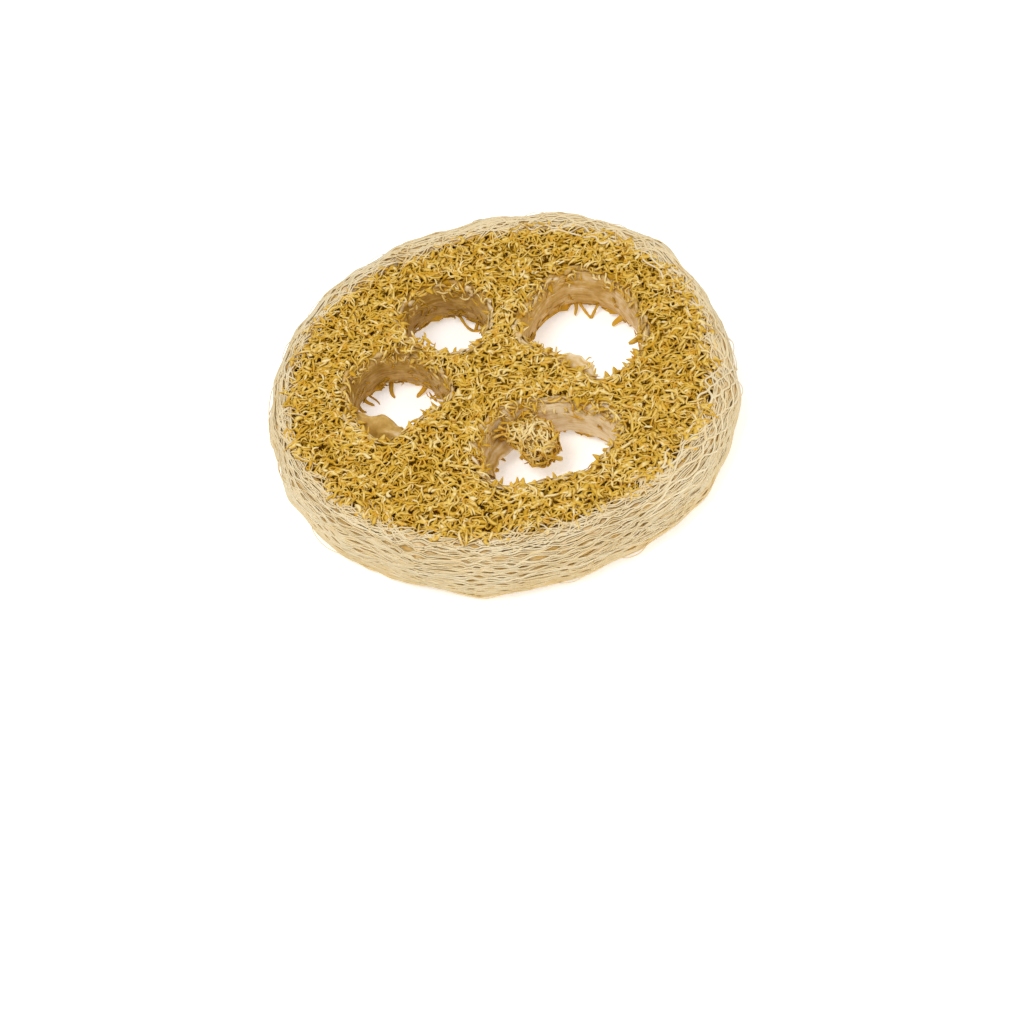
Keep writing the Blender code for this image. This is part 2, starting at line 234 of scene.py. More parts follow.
# %% Seed chambers
CHAMBERS = (
    ((-0.9, 19.5), (-1.8, 24.6), (-6.3, 28.8), (-11.5, 30.2), (-16.0, 27.9),
     (-19.0, 23.5), (-18.0, 16.5), (-13.0, 11.2), (-8.4, 10.0), (-3.9, 11.8)),
    ((30.8, 8.0), (30.2, 15.4), (27.6, 21.2), (23.2, 25.9), (17.2, 27.3),
     (11.0, 23.0), (7.0, 16.5), (6.8, 10.0), (11.0, 4.8), (15.6, -0.4),
     (20.4, -4.0), (26.0, -2.2), (29.8, 3.0)),
    ((-11.8, 1.5), (-14.3, 6.6), (-17.5, 10.8), (-21.5, 12.9), (-26.0, 12.3),
     (-30.4, 8.8), (-32.3, 3.5), (-31.6, -4.0), (-29.0, -8.9), (-25.8, -11.6),
     (-22.5, -10.2), (-17.8, -6.5), (-13.0, -3.2)),
    ((21.8, -18.6), (18.8, -13.6), (13.0, -9.8), (7.5, -9.2), (2.0, -9.2),
     (-2.2, -10.2), (-5.8, -15.5), (-6.9, -21.5), (-5.0, -27.3), (-1.6, -29.6),
     (4.0, -29.2), (11.3, -28.7), (15.3, -27.0), (19.6, -23.0)),
)
ROLL_RADIUS = 3.0
WAIST = 0.5
SPAN_POINTS = 24
LOOP_POINTS = 600
GRID_LOOP_POINTS = 240
GRID_STEP = 0.5
GRID_REACH = 56.0


def closed_curve(corners, count):
    """Catmull-Rom curve: each span is the cubic that meets its two corners with the slopes of
    their neighbours. The points are then moved to equal steps along it."""
    p = np.array(corners)
    t = np.linspace(0.0, 1.0, SPAN_POINTS, endpoint=False)[:, None, None]
    before, after, beyond = np.roll(p, 1, 0), np.roll(p, -1, 0), np.roll(p, -2, 0)
    bend = 2 * before - 5 * p + 4 * after - beyond
    twist = 3 * p - before - 3 * after + beyond
    spans = 0.5 * (2 * p + (after - before) * t + bend * t**2 + twist * t**3)
    dense = spans.transpose(1, 0, 2).reshape(-1, 2)
    around = np.concatenate([dense, dense[:1]])
    length = np.concatenate([[0.0], np.cumsum(np.hypot(*np.diff(around, axis=0).T))])
    at = np.linspace(0.0, length[-1], count, endpoint=False)
    return np.stack([np.interp(at, length, around[:, k]) for k in (0, 1)], axis=-1)


def outward(loop):
    """Unit normals out of an anticlockwise loop: the step between neighbours, turned right."""
    along = np.roll(loop, -1, 0) - np.roll(loop, 1, 0)
    along /= np.linalg.norm(along, axis=1)[:, None]
    return np.stack([along[:, 1], -along[:, 0]], axis=-1)


def distance_grid():
    """Distance from each grid point to the nearest chamber, less than zero inside one."""
    at = np.arange(-GRID_REACH, GRID_REACH + GRID_STEP, GRID_STEP)
    points = np.stack(np.meshgrid(at, at, indexing="ij"), axis=-1).reshape(-1, 2)
    rows = np.arange(len(points))
    best = np.full(len(points), np.inf)
    for corners in CHAMBERS:
        loop = closed_curve(corners, GRID_LOOP_POINTS)
        offset = points[:, None] - loop[None]
        length = np.hypot(offset[..., 0], offset[..., 1])
        near = length.argmin(axis=1)
        side = np.sign((offset[rows, near] * outward(loop)[near]).sum(axis=1))
        best = np.minimum(best, side * length[rows, near])
    return best.reshape(len(at), len(at))


DISTANCES = distance_grid()
CHAMBER_LOOPS = [closed_curve(corners, LOOP_POINTS) for corners in CHAMBERS]


def chamber_distance(xy):
    """Distance to the nearest chamber, read between the grid's points in proportion."""
    place = np.clip((xy + GRID_REACH) / GRID_STEP, 0, len(DISTANCES) - 1.001)
    low = place.astype(int)
    share = place - low
    i, j = low[..., 0], low[..., 1]
    near = between(DISTANCES[i, j], DISTANCES[i, j + 1], share[..., 1])
    far = between(DISTANCES[i + 1, j], DISTANCES[i + 1, j + 1], share[..., 1])
    return between(near, far, share[..., 0])


print("deepest inside a chamber is", -DISTANCES.min().round(1), "mm from its outline")

# %% [markdown]
# ## The face's height
# The knife left the face flat. It sinks in a quarter circle towards each chamber and a little
# towards the pale rim. Everything golden is laid on this surface or at a depth below it. Smooth
# random fields, called drifts, make such things as thickness and height change from place to
# place, so that neighbours agree.

# %% The face's height
RIM_SINK = 0.15
RIM_SINK_WIDTH = 3.0
DRIFT_WAVES = 8
DRIFT_GAIN = 1.9


def rim_distance(xy):
    """Distance inwards from the golden face's edge, along the line to the centre."""
    turn = np.arctan2(xy[..., 1] / RIM_RADIUS[1], xy[..., 0] / RIM_RADIUS[0])
    edge = ring(turn, RIM_RADIUS)
    return np.hypot(edge[..., 0], edge[..., 1]) - np.hypot(xy[..., 0], xy[..., 1])


def face_depth(xy):
    """How far the face lies below the cut plane: a quarter circle towards a chamber, and the
    square of the nearness to the rim."""
    reach = np.clip(ROLL_RADIUS - chamber_distance(xy), 0.0, ROLL_RADIUS)
    roll = ROLL_RADIUS - np.sqrt(ROLL_RADIUS**2 - reach**2)
    near_rim = np.clip(1.0 - rim_distance(xy) / RIM_SINK_WIDTH, 0.0, 1.5)
    return roll + RIM_SINK * near_rim**2


def on_face(xy, chamber_gap, rim_gap):
    """Whether each point keeps both gaps, to the chambers and to the rim."""
    return (chamber_distance(xy) > chamber_gap) & (rim_distance(xy) > rim_gap)


def random_places(rng, count, chamber_gap, rim_gap):
    """Random points of the face that keep both gaps: drawn in a square until there are enough."""
    found = np.empty((0, 2))
    while len(found) < count:
        xy = rng.uniform(-BELLY_RADIUS, BELLY_RADIUS, (4 * count, 2))
        found = np.concatenate([found, xy[on_face(xy, chamber_gap, rim_gap)]])
    return found[:count]


def drift(at, seed, wavelength):
    """Smooth random field of about -1 to 1 over points of any number of coordinates: eight sine
    waves of random heading, length and phase, averaged."""
    rng = np.random.default_rng(seed)
    heading = rng.normal(0.0, 1.0, (DRIFT_WAVES, at.shape[-1]))
    heading /= np.linalg.norm(heading, axis=1, keepdims=True)
    heading *= (2 * np.pi / (wavelength * rng.uniform(0.7, 1.5, DRIFT_WAVES)))[:, None]
    phase = rng.uniform(0, 2 * np.pi, DRIFT_WAVES)
    total = sum(np.sin(at @ wave + shift) for wave, shift in zip(heading, phase))
    return total / DRIFT_WAVES * DRIFT_GAIN


# %% [markdown]
# ## Strands
# Every fibre here is a tube: a small polygon carried along a path. The polygon's own axes are
# kept square to the path and near a given lean, such as the surface's normal, so a curl doesn't
# twist its tube. All strands of a piece are made together as whole arrays and written into one
# mesh, with each point's tone, from dark to pale, as an attribute that the material reads.
# The map called OFBake lays the strands out in a grid of cells, one to a strand, so that the
# colours can be baked without the strands' pixels running into each other.

# %% Strands
Z_SPARE = 0.36
CELL_MARGIN = 0.08
WEAK_LEAN = 0.25
tally = {}


def square_axes(paths, lean, closed):
    """Two axes square to each path: the lean less its share along the path, and the cross
    product of path and that. Where the lean falls along the path, the last one is kept."""
    if closed:
        along = unit(np.roll(paths, -1, 1) - np.roll(paths, 1, 1))
    else:
        along = unit(np.gradient(paths, axis=1))
    lean = np.broadcast_to(lean, paths.shape)
    first = lean - (lean * along).sum(-1, keepdims=True) * along
    weak = np.linalg.norm(first, axis=-1) < WEAK_LEAN
    first = unit(first)
    for k in range(1, paths.shape[1]):
        last = first[:, k - 1]
        held = last - (last * along[:, k]).sum(-1, keepdims=True) * along[:, k]
        first[:, k] = np.where(weak[:, k, None], unit(held), first[:, k])
    return first, np.cross(along, first)


def strand_map(count, spans, sides):
    """Map places for the sides of every strand: its own cell of a square grid, less a margin,
    with the strand's length up the cell and its sides across."""
    cells = math.ceil(math.sqrt(count))
    corner = np.stack([np.arange(count) % cells, np.arange(count) // cells], axis=-1)
    u = (np.arange(sides)[:, None] + [0, 1, 1, 0]) / sides
    v = (np.arange(spans)[:, None] + [0, 0, 1, 1]) / spans
    inner = np.stack(np.broadcast_arrays(u[None, None], v[None, :, None]), axis=-1)
    inner = CELL_MARGIN + (1 - 2 * CELL_MARGIN) * inner
    return cells, corner, ((corner[:, None, None, None] + inner) / cells).reshape(-1, 2)


def strands(
    name, paths, radii, tones, sides=3, lean=(0.13, 0.29, 0.95), flat=1.0, painted_highlight=0.0, closed=False
):
    """Carries a polygon of `sides` corners along every path (strand, point, xyz) and links the
    rings with quads. `flat` is its height over its width, and the painted highlight makes the side
    that leans up paler and the other darker, as painted light and shade. Open ends get a cap,
    mapped in the cell's margins. Heights are held within the spare room over and under the slice."""
    paths = paths.copy()
    paths[..., 2] = np.clip(paths[..., 2], radii - Z_SPARE, THICKNESS + Z_SPARE - radii)
    up, side = square_axes(paths, np.asarray(lean, dtype=float), closed)
    count, steps = paths.shape[:2]
    turn = np.arange(sides) * (2 * np.pi / sides)
    c, s = np.cos(turn)[:, None], np.sin(turn)[:, None]
    rings = paths[:, :, None] + radii[:, :, None, None] * (
        flat * c * up[:, :, None] + s * side[:, :, None]
    )
    index = np.arange(count * steps * sides).reshape(count, steps, sides)
    first, second = index, np.roll(index, -1, 1)
    if not closed:
        first, second = index[:, :-1], index[:, 1:]
    quads = np.stack([first, np.roll(first, -1, 2), np.roll(second, -1, 2), second], axis=-1)
    cells, corner, places = strand_map(count, quads.shape[1], sides)
    faces, uv = [quads.reshape(-1, 4)], [places]
    if not closed:
        faces.append(np.concatenate([index[:, 0, ::-1], index[:, -1]]))
        tip = np.stack([0.5 + 0.05 * np.sin(turn), 0.05 - 0.04 * np.cos(turn)], axis=-1)
        tips = [tip[None] + corner[:, None], [0.0, 0.9] + tip[None] + corner[:, None]]
        uv.append((np.concatenate(tips) / cells).reshape(-1, 2))
    # Painted light and shade: the ring's corner that leans up is paler, the one facing down darker.
    tone = np.broadcast_to(tones, (count, steps))[..., None] + painted_highlight * np.cos(turn)
    return write_mesh(name, rings.reshape(-1, 3), faces, tone.ravel(), np.concatenate(uv))


def write_tone(mesh, tone):
    """Writes the tones as an attribute of the mesh's points."""
    attribute = mesh.attributes.new("tone", "FLOAT", "POINT")
    attribute.data.foreach_set("value", np.asarray(tone, dtype=np.float32))


def write_mesh(name, points, face_groups, tone, uv=None):
    """One smooth mesh object from points in mm, arrays of faces and a tone for each point."""
    mesh = bpy.data.meshes.new(name)
    corners = np.concatenate([group.ravel() for group in face_groups])
    sizes = np.concatenate([np.full(len(group), group.shape[1]) for group in face_groups])
    starts = np.concatenate([[0], np.cumsum(sizes)[:-1]])
    mesh.vertices.add(len(points))
    mesh.loops.add(len(corners))
    mesh.polygons.add(len(sizes))
    placed = points + [*CENTRE, 0.0]
    mesh.vertices.foreach_set("co", (placed * MM).astype(np.float32).ravel())
    mesh.loops.foreach_set("vertex_index", corners.astype(np.int32))
    mesh.polygons.foreach_set("loop_start", starts.astype(np.int32))
    mesh.polygons.foreach_set("use_smooth", np.ones(len(sizes), dtype=bool))
    write_tone(mesh, tone)
    if uv is not None:
        layer = mesh.uv_layers.new(name="OFBake")
        layer.data.foreach_set("uv", uv.astype(np.float32).ravel())
    mesh.update(calc_edges=True)
    tally[name] = int((sizes - 2).sum())
    print(name, tally[name], "triangles")
    return add_object(name, mesh)


def grid_quads(rows, columns, round_rows=False, round_columns=False):
    """Faces of a grid of points, each a point, the next row's, the one past both and the next
    column's. Rows or columns that run round close on their first."""
    index = np.arange(rows * columns).reshape(rows, columns)
    if round_rows:
        index = np.concatenate([index, index[:1]])
    if round_columns:
        index = np.concatenate([index, index[:, :1]], axis=1)
    cells = (index[:-1, :-1], index[1:, :-1], index[1:, 1:], index[:-1, 1:])
    return np.stack(cells, axis=-1).reshape(-1, 4)


# %% [markdown]
# ## Fibre materials
# Dry plant fibre is matt with a faint gloss on its rounded tops. The tone of each strand picks
# its colour from a ramp, and noise breaks it up along the way. Here and there a patch is more
# deeply coloured, and a fine bump gives the fibre its grain.

# %% Fibre materials
ROUGHNESS = 0.55
NOISE_SPAN = (0.3, 0.7)
FINE_GRAIN, FINE_BUMP = (0.15,), (0.25, 0.05)
LINE_GRAIN, LINE_BUMP = (2.6, 5.0, (1.0, 1.0, 7.0)), (0.6, 0.35)
PATCH_GRAIN, PATCH_SPAN, PATCH_SHARE = (1.9, 1.0), (0.56, 0.64), (0.0, 0.7)


def add_node(material, kind, inputs, **settings):
    """A shader node. Each input gets a value, or a link from another node's output."""
    node = material.node_tree.nodes.new("ShaderNode" + kind)
    for name, value in settings.items():
        setattr(node, name, value)
    for name, value in inputs.items():
        if isinstance(value, bpy.types.NodeSocket):
            material.node_tree.links.new(value, node.inputs[name])
        else:
            node.inputs[name].default_value = value
    return node


def link_noise(material, size, detail=3.0, squeeze=(1.0, 1.0, 1.0)):
    """A noise texture on Object coordinates, squeezed on each axis, with grains `size` mm wide."""
    place = add_node(material, "TexCoord", {}).outputs["Object"]
    place = add_node(material, "Mapping", {"Vector": place, "Scale": squeeze}).outputs["Vector"]
    inputs = {"Vector": place, "Scale": 1.0 / (size * MM), "Detail": detail}
    return add_node(material, "TexNoise", inputs).outputs["Fac"]


def link_range(material, value, before, after):
    """Maps a value from one range to another, held within it."""
    ends = dict(zip(("From Min", "From Max", "To Min", "To Max"), (*before, *after)))
    return add_node(material, "MapRange", {"Value": value, **ends}).outputs["Result"]


def link_swing(material, total, noise, size):
    """Adds to a value what a noise makes of the range from less `size` to `size`."""
    swing = link_range(material, noise, NOISE_SPAN, (-size, size))
    return add_node(material, "Math", {0: total, 1: swing}, operation="ADD").outputs["Value"]


def fibre_material(name, stops, grain, mottle, rich=None, lines=0.0, gloss=0.25):
    """Principled material: tone plus mottled noise through a colour ramp, patches of a richer
    colour, and a fine bump. `lines` adds a noise drawn out level, as faint growth lines."""
    material = bpy.data.materials.new(name)
    material.use_nodes = True
    links = material.node_tree.links
    shader = material.node_tree.nodes["Principled BSDF"]
    shader.inputs["Roughness"].default_value = ROUGHNESS
    shader.inputs["Specular IOR Level"].default_value = gloss
    tone = add_node(material, "Attribute", {}, attribute_name="tone").outputs["Fac"]
    total = link_swing(material, tone, link_noise(material, grain), mottle)
    height = link_noise(material, *(LINE_GRAIN if lines else FINE_GRAIN))
    if lines:
        total = link_swing(material, total, height, lines)
    ramp = add_node(material, "ValToRGB", {"Fac": total})
    elements = ramp.color_ramp.elements
    for element, (position, colour) in zip(elements, (stops[0], stops[-1])):
        element.position, element.color = position, (*colour, 1.0)
    for position, colour in stops[1:-1]:
        elements.new(position).color = (*colour, 1.0)
    colour = ramp.outputs["Color"]
    if rich:
        patch = link_range(material, link_noise(material, *PATCH_GRAIN), PATCH_SPAN, PATCH_SHARE)
        inputs = {"Factor": patch, "A": colour, "B": (*rich, 1.0)}
        colour = add_node(material, "Mix", inputs, data_type="RGBA").outputs["Result"]
    links.new(colour, shader.inputs["Base Color"])
    strength, depth = LINE_BUMP if lines else FINE_BUMP
    inputs = {"Strength": strength, "Distance": depth * MM, "Height": height}
    relief = add_node(material, "Bump", inputs)
    links.new(relief.outputs["Normal"], shader.inputs["Normal"])
    return material


GOLD_STOPS = (
    (0.0, (0.42, 0.215, 0.006)),
    (0.35, (0.60, 0.335, 0.018)),
    (0.6, (0.72, 0.44, 0.048)),
    (0.85, (0.85, 0.60, 0.165)),
    (1.0, (0.92, 0.74, 0.36)),
)
PALE_STOPS = (
    (0.0, (0.60, 0.37, 0.09)),
    (0.45, (0.81, 0.605, 0.29)),
    (1.0, (0.88, 0.76, 0.52)),
)
SKIN_STOPS = (
    (0.0, (0.36, 0.18, 0.010)),
    (0.5, (0.63, 0.39, 0.105)),
    (1.0, (0.87, 0.70, 0.44)),
)
RICH_GOLD = (0.72, 0.38, 0.022)
golden = fibre_material("dry_golden_fibre", GOLD_STOPS, 1.1, 0.16, rich=RICH_GOLD, gloss=0.18)
pale = fibre_material("dry_pale_fibre", PALE_STOPS, 2.5, 0.1)
membrane = fibre_material("seed_chamber_skin", SKIN_STOPS, 1.6, 0.16, lines=0.22)
streaked = fibre_material("seed_ledge_skin", SKIN_STOPS, 0.8, 0.12)
print("materials", [item.name for item in bpy.data.materials])

# %% [markdown]
# ## The mat's core
# Between and below the fibres that show, the mat is a tangle, given a dark tone as painted shade.
# It is stood for by the CAD solid itself, copied, welded and drawn in along its normals, so it
# keeps that solid's form and lies just under the strands that cover it.

# %% Core of the mat
CORE_SINK = 0.8
CORE_SHADE_TONE = 0.3
WELD = 0.01


def solid_copy(node, name, inset, tone):
    """A welded copy of a CAD node's mesh with each point moved in along its normal."""
    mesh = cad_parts[node].data.copy()
    mesh.name = name
    item = add_object(name, mesh)
    work = bmesh.new()
    work.from_mesh(mesh)
    bmesh.ops.remove_doubles(work, verts=work.verts, dist=WELD * MM)
    work.normal_update()
    work.to_mesh(mesh)
    work.free()
    count = len(mesh.vertices)
    points, normals = np.empty(count * 3), np.empty(count * 3)
    mesh.vertices.foreach_get("co", points)
    mesh.vertex_normals.foreach_get("vector", normals)
    mesh.vertices.foreach_set("co", points - normals * inset * MM)
    write_tone(mesh, np.full(count, tone))
    mesh.materials.clear()
    tally[name] = len(mesh.polygons)
    return item


core = solid_copy("fibre_mat", "mat_core", CORE_SINK, CORE_SHADE_TONE)
core.data.materials.append(golden)
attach(core, "root")
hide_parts("fibre_mat")
print("core of", tally["mat_core"], "triangles")

# %% [markdown]
# ## Chamber walls
# A seed chamber is lined with a thin tan skin, smooth but for faint lines that run round it. It
# is a grid: round the chamber's curve one way, and down its section the other, from under the
# fibres of the top roll over a slight waist to the bottom roll.

# %% Chamber walls
WALL_ROUND = 160
WALL_ROWS = 30
WALL_START = math.radians(35)
SUNK_AT_START = 0.9
SUNK_AT_WALL = 0.2
# Each chamber's lining has its own tone, set so its wall shows as bright as the real one: partly
# the lining's own colour, partly painted light and shade for walls that get more or less light.
WALL_TONES_AND_SHADE = (0.2, 0.52, 0.26, 0.84)
WALL_SEEDS = (300, 310, 320, 330)
FIELD_RADIUS = 14


def golden_part(item, material):
    """Gives a piece its material and hands it over as part of the golden mat."""
    item.data.materials.append(material)
    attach(item, "root")


def skin_piece(name, points, quads, tone, material):
    """A piece of the chambers' skin from a grid of points with a tone for each."""
    item = write_mesh(name, points.reshape(-1, 3), [quads], tone.ravel())
    golden_part(item, material)


def wall_section(rows):
    """Steps out of the chamber's outline, and heights, down its wall: a quarter circle that comes
    up to the surface, a bowed line to the other face, and a quarter circle."""
    arc = rows // 4
    bend = np.linspace(WALL_START, math.pi / 2, arc)
    radius = ROLL_RADIUS - np.linspace(SUNK_AT_START, SUNK_AT_WALL, arc)
    out = ROLL_RADIUS - radius * np.sin(bend)
    drop = ROLL_RADIUS - radius * np.cos(bend)
    share = np.linspace(0.0, 1.0, rows - 2 * arc + 2)[1:-1]
    middle = SUNK_AT_WALL - WAIST * arch(share)
    height = THICKNESS - ROLL_RADIUS - share * (THICKNESS - 2 * ROLL_RADIUS)
    out = np.concatenate([out, middle, out[::-1]])
    return out, np.concatenate([THICKNESS - drop, height, drop[::-1]])


def chamber_wall(number, corners, seed, tone):
    """The wall's grid, moved in and out by a smooth drift that runs mostly round the chamber. The
    side that faces the light, to the right, is painted palest, as painted light."""
    loop = closed_curve(corners, WALL_ROUND)
    out, height = wall_section(WALL_ROWS)
    angle = np.arange(WALL_ROUND)[:, None] * (2 * np.pi / WALL_ROUND)
    circle = FIELD_RADIUS * np.cos(angle), FIELD_RADIUS * np.sin(angle)
    at = np.stack(np.broadcast_arrays(*circle, height[None]), -1)
    ripple = 0.28 * drift(at, seed, 8.0) + 0.14 * drift(at * [1, 1, 2], seed + 1, 3.6)
    step = out[None, :] + ripple
    flat = loop[:, None] + outward(loop)[:, None] * step[..., None]
    points = raised(flat, np.broadcast_to(height, step.shape))
    quads = grid_quads(WALL_ROUND, WALL_ROWS, round_rows=True)
    # Painted light: a cosine round the chamber makes the right side, which faces the light, paler.
    shade = tone + 0.16 * drift(at * [1, 1, 2.5], seed + 2, 7.0) + 0.14 * np.cos(angle)
    skin_piece(f"chamber_wall_{number}", points, quads, shade, membrane)


for number, wall in enumerate(zip(CHAMBERS, WALL_SEEDS, WALL_TONES_AND_SHADE), start=1):
    chamber_wall(number, *wall)

# %% [markdown]
# ## Ledges of skin
# In three chambers a piece of the lining stands out from the wall as a ledge, streaked along its
# length. Each is a thin cushion between two curves: one inside the wall, and one that is the
# ledge's free edge. Its section is a flat loop, so it is closed all round, and its ends lie
# inside the mat. A ledge has both curves, the heights of root and edge, half its thickness, and
# its tone.

# %% Ledges of skin
LEDGES = (
    (((-33.5, -2.0), (-31.0, -10.0), (-26.5, -13.6), (-20.5, -13.0)),
     ((-31.6, 0.2), (-28.0, -2.4), (-24.6, -4.2), (-21.0, -10.4)), (7.2, 10.0), 1.0, 0.26),
    (((7.0, 9.0), (10.0, 3.6), (14.0, -1.0), (18.6, -4.6)),
     ((9.0, 9.4), (12.4, 5.6), (17.4, 2.6), (19.4, -2.2)), (9.8, 10.9), 0.3, 0.66),
    (((-8.6, -20.0), (-7.4, -14.0), (-3.0, -8.6), (4.0, -7.8)),
     ((-5.2, -20.0), (-3.4, -15.6), (-0.4, -12.8), (4.0, -12.6)), (6.4, 3.6), 1.0, 0.5),
)
LEDGE_LONG = 28
LEDGE_ROUND = 80
STREAK_SQUEEZE = 0.1
STREAKS = 6.5


def four_point_curve(points, t):
    """Smooth curve through four points: the cubic that meets them at even steps."""
    p = np.array(points, dtype=float)
    knots = np.linspace(0.0, 1.0, 4)
    total = 0.0
    for k in range(4):
        others = np.delete(knots, k)
        weight = np.prod([(t - other) / (knots[k] - other) for other in others], axis=0)
        total = total + weight[:, None] * p[k]
    return total


def make_ledge(number, root, edge, heights, half, tone):
    """Grid: along both curves one way, and round a flat loop the other. The loop's cosine goes
    from root to edge, and its sine up and down by the half thickness. Streaks are a drift that
    changes fast across the ledge and slowly along it."""
    t = np.linspace(0.0, 1.0, LEDGE_LONG)
    bend = np.linspace(0.0, 2 * np.pi, LEDGE_ROUND, endpoint=False)
    share = 0.5 + 0.5 * np.cos(bend)[None, :]
    inner, outer = four_point_curve(root, t)[:, None], four_point_curve(edge, t)[:, None]
    flat = between(inner, outer, share[..., None])
    level = np.zeros(flat.shape[:2])
    at = raised(flat, level)
    lines = drift(raised(STREAK_SQUEEZE * flat, STREAKS * share + level), 540 + number, 1.0)
    reach = 0.8 * drift(at, 510 + number, 3.0) * share
    thick = np.sin(bend) * (half * (1.0 + 0.3 * drift(at, 520 + number, 4.0)) + 0.12 * lines)
    z = between(*heights, share) + 0.6 * drift(at, 500 + number, 5.0) + thick
    points = raised(flat + unit(outer - inner) * reach[..., None], z)
    quads = grid_quads(LEDGE_LONG, LEDGE_ROUND, round_columns=True)
    # Painted shade and light: each ledge is darker at its root against the wall and paler towards
    # its free edge.
    shade = tone + 0.3 * (share - 0.5) + 0.1 * drift(at, 530 + number, 3.0) + 0.34 * lines
    skin_piece(f"skin_ledge_{number}", points, quads, shade, streaked)


for number, ledge in enumerate(LEDGES, start=1):
    make_ledge(number, *ledge)

# %% [markdown]
# ## Golden fibres
# Two kinds make the mat. Some join into a mesh of small cells: these run between the points of a
# jittered lattice, and widen where they meet. Others are loose curls and flat flakes, cut or
# broken, that lie over it and point all ways. Both are laid on the face's surface, each at its
# own depth, and the deeper a fibre lies, the darker its tone is painted, as painted shade.

# %% Golden fibres: joined mesh
FACE_GAP = 2.1
LATTICE_RIM_GAP = -0.4
JITTER = 0.38
OVERRUN = 0.08
# How much paler a golden strand's upper side is painted, and its lower side darker: painted light
# and shade.
PAINTED_HIGHLIGHT = 0.13


def lattice(rng, step):
    """Points of a triangular lattice, moved at random, each with the numbers of its three
    forward neighbours, or -1 where there is none."""
    reach = int(1.2 * BELLY_RADIUS / step)
    i, j = np.meshgrid(np.arange(-2 * reach, 2 * reach), np.arange(-reach, reach), indexing="ij")
    xy = np.stack([step * (i + 0.5 * j), step * math.sqrt(0.75) * j], axis=-1)
    xy = xy + rng.uniform(-JITTER, JITTER, xy.shape) * step
    keep = on_face(xy, FACE_GAP, LATTICE_RIM_GAP)
    number = np.where(keep, np.cumsum(keep).reshape(keep.shape) - 1, -1)
    ahead = [np.roll(number, shift, (0, 1)) for shift in ((-1, 0), (0, -1), (1, -1))]
    return xy[keep], np.stack([near[keep] for near in ahead], axis=-1)


def joined_paths(rng, step, share, depth, points):
    """A share of the lattice's links as curved paths: a straight line with a bow and an S-bend
    sideways, and a bow in height, each a half or whole sine wave."""
    xy, ahead = lattice(rng, step)
    below = rng.uniform(*depth, len(xy))
    start = np.repeat(np.arange(len(xy)), 3)
    end = ahead.ravel()
    used = (end >= 0) & (rng.random(len(end)) < share)
    start, end = start[used], end[used]
    t = np.linspace(-OVERRUN, 1 + OVERRUN, points)[None, :]
    wide = t[..., None]
    line = between(xy[start][:, None], xy[end][:, None], wide)
    run = xy[end] - xy[start]
    across = np.stack([-run[:, 1], run[:, 0]], -1)[:, None]
    bow, bend = rng.normal(0.0, 0.2, (2, len(start), 1, 1))
    line = line + across * (bow * arch(wide) + bend * np.sin(2 * np.pi * wide))
    level = between(below[start][:, None], below[end][:, None], t)
    level = level - rng.uniform(-0.4, 0.5, (len(start), 1)) * arch(t)
    return raised(line, THICKNESS - face_depth(line) - level), level


def joined_radii(rng, paths, low, high):
    """A thread that widens to both ends, by the fourth power of the way from its middle, so that
    the joints are webbed."""
    t = np.linspace(-1.0, 1.0, paths.shape[1])
    return rng.uniform(low, high, (len(paths), 1)) * (0.8 + 0.85 * t**4)


# %% Golden fibres: loose curls
CURL_POINTS = 7
CURL_WAY = np.linspace(0.0, 1.0, CURL_POINTS)


def curl_walk(rng, count, length, turn=1.3, wave=0.6, aligned=False):
    """Flat curls round their own middles. The heading starts at random, or `aligned` near the
    first axis, turns at a steady random rate and has a sine wave on it; its cosine and sine are
    summed up."""
    heading = rng.uniform(0, 2 * np.pi, count)
    if aligned:
        heading = rng.normal(0.0, 0.7, count) + np.pi * rng.integers(0, 2, count)
    step = rng.uniform(*length, (count, 1)) / (CURL_POINTS - 1)
    rate = rng.normal(0.0, turn, (count, 1))
    size = rng.normal(0.0, wave, (count, 1))
    sway = size * np.sin(2 * np.pi * (CURL_WAY + rng.random((count, 1))))
    angle = heading[:, None] + rate * (CURL_WAY - 0.5) + sway
    flat = np.cumsum(np.stack([np.cos(angle), np.sin(angle)], -1) * step[..., None], axis=1)
    return flat - flat.mean(axis=1, keepdims=True)


def curl_levels(rng, count, depth, rise, tilt):
    """Depth below the surface along a curl: a bow that lifts its middle and a tilt that lifts
    one end."""
    level = rng.uniform(*depth, (count, 1)) - rng.uniform(*rise, (count, 1)) * arch(CURL_WAY)
    return level + rng.uniform(-tilt, tilt, (count, 1)) * (CURL_WAY - 0.5)


def curl_radii(rng, paths, low, high):
    """Thick at the root, thin at the tip, and narrowed a little at both ends."""
    taper = rng.uniform(low, high, (len(paths), 1)) * (1.0 - 0.6 * CURL_WAY**3)
    return taper * (0.65 + 0.4 * arch(CURL_WAY))


def flake_radii(rng, paths, low, high):
    """Broad in the middle and pointed at the ends, as half a sine wave."""
    return rng.uniform(low, high, (len(paths), 1)) * (0.22 + 0.78 * arch(CURL_WAY**0.8))


def own_tones(rng, paths, middle, spread, high=1.0):
    """A random tone for each strand."""
    return np.clip(rng.normal(middle, spread, (len(paths), 1)), 0.0, high)


def depth_shaded_tones(rng, level, middle, spread):
    """A tone for each strand, darker with each point's depth below the surface, as painted shade in
    the gaps of the mat.
    """
    own = rng.normal(middle, spread, (len(level), 1))
    return np.clip(own - 0.2 * (level - 0.5), 0.02, 0.98)


def random_lean(rng, paths):
    """Upward leans, each tipped its own way."""
    return unit(rng.normal(0.0, 0.45, (len(paths), 1, 3)) + [0.0, 0.0, 1.0])


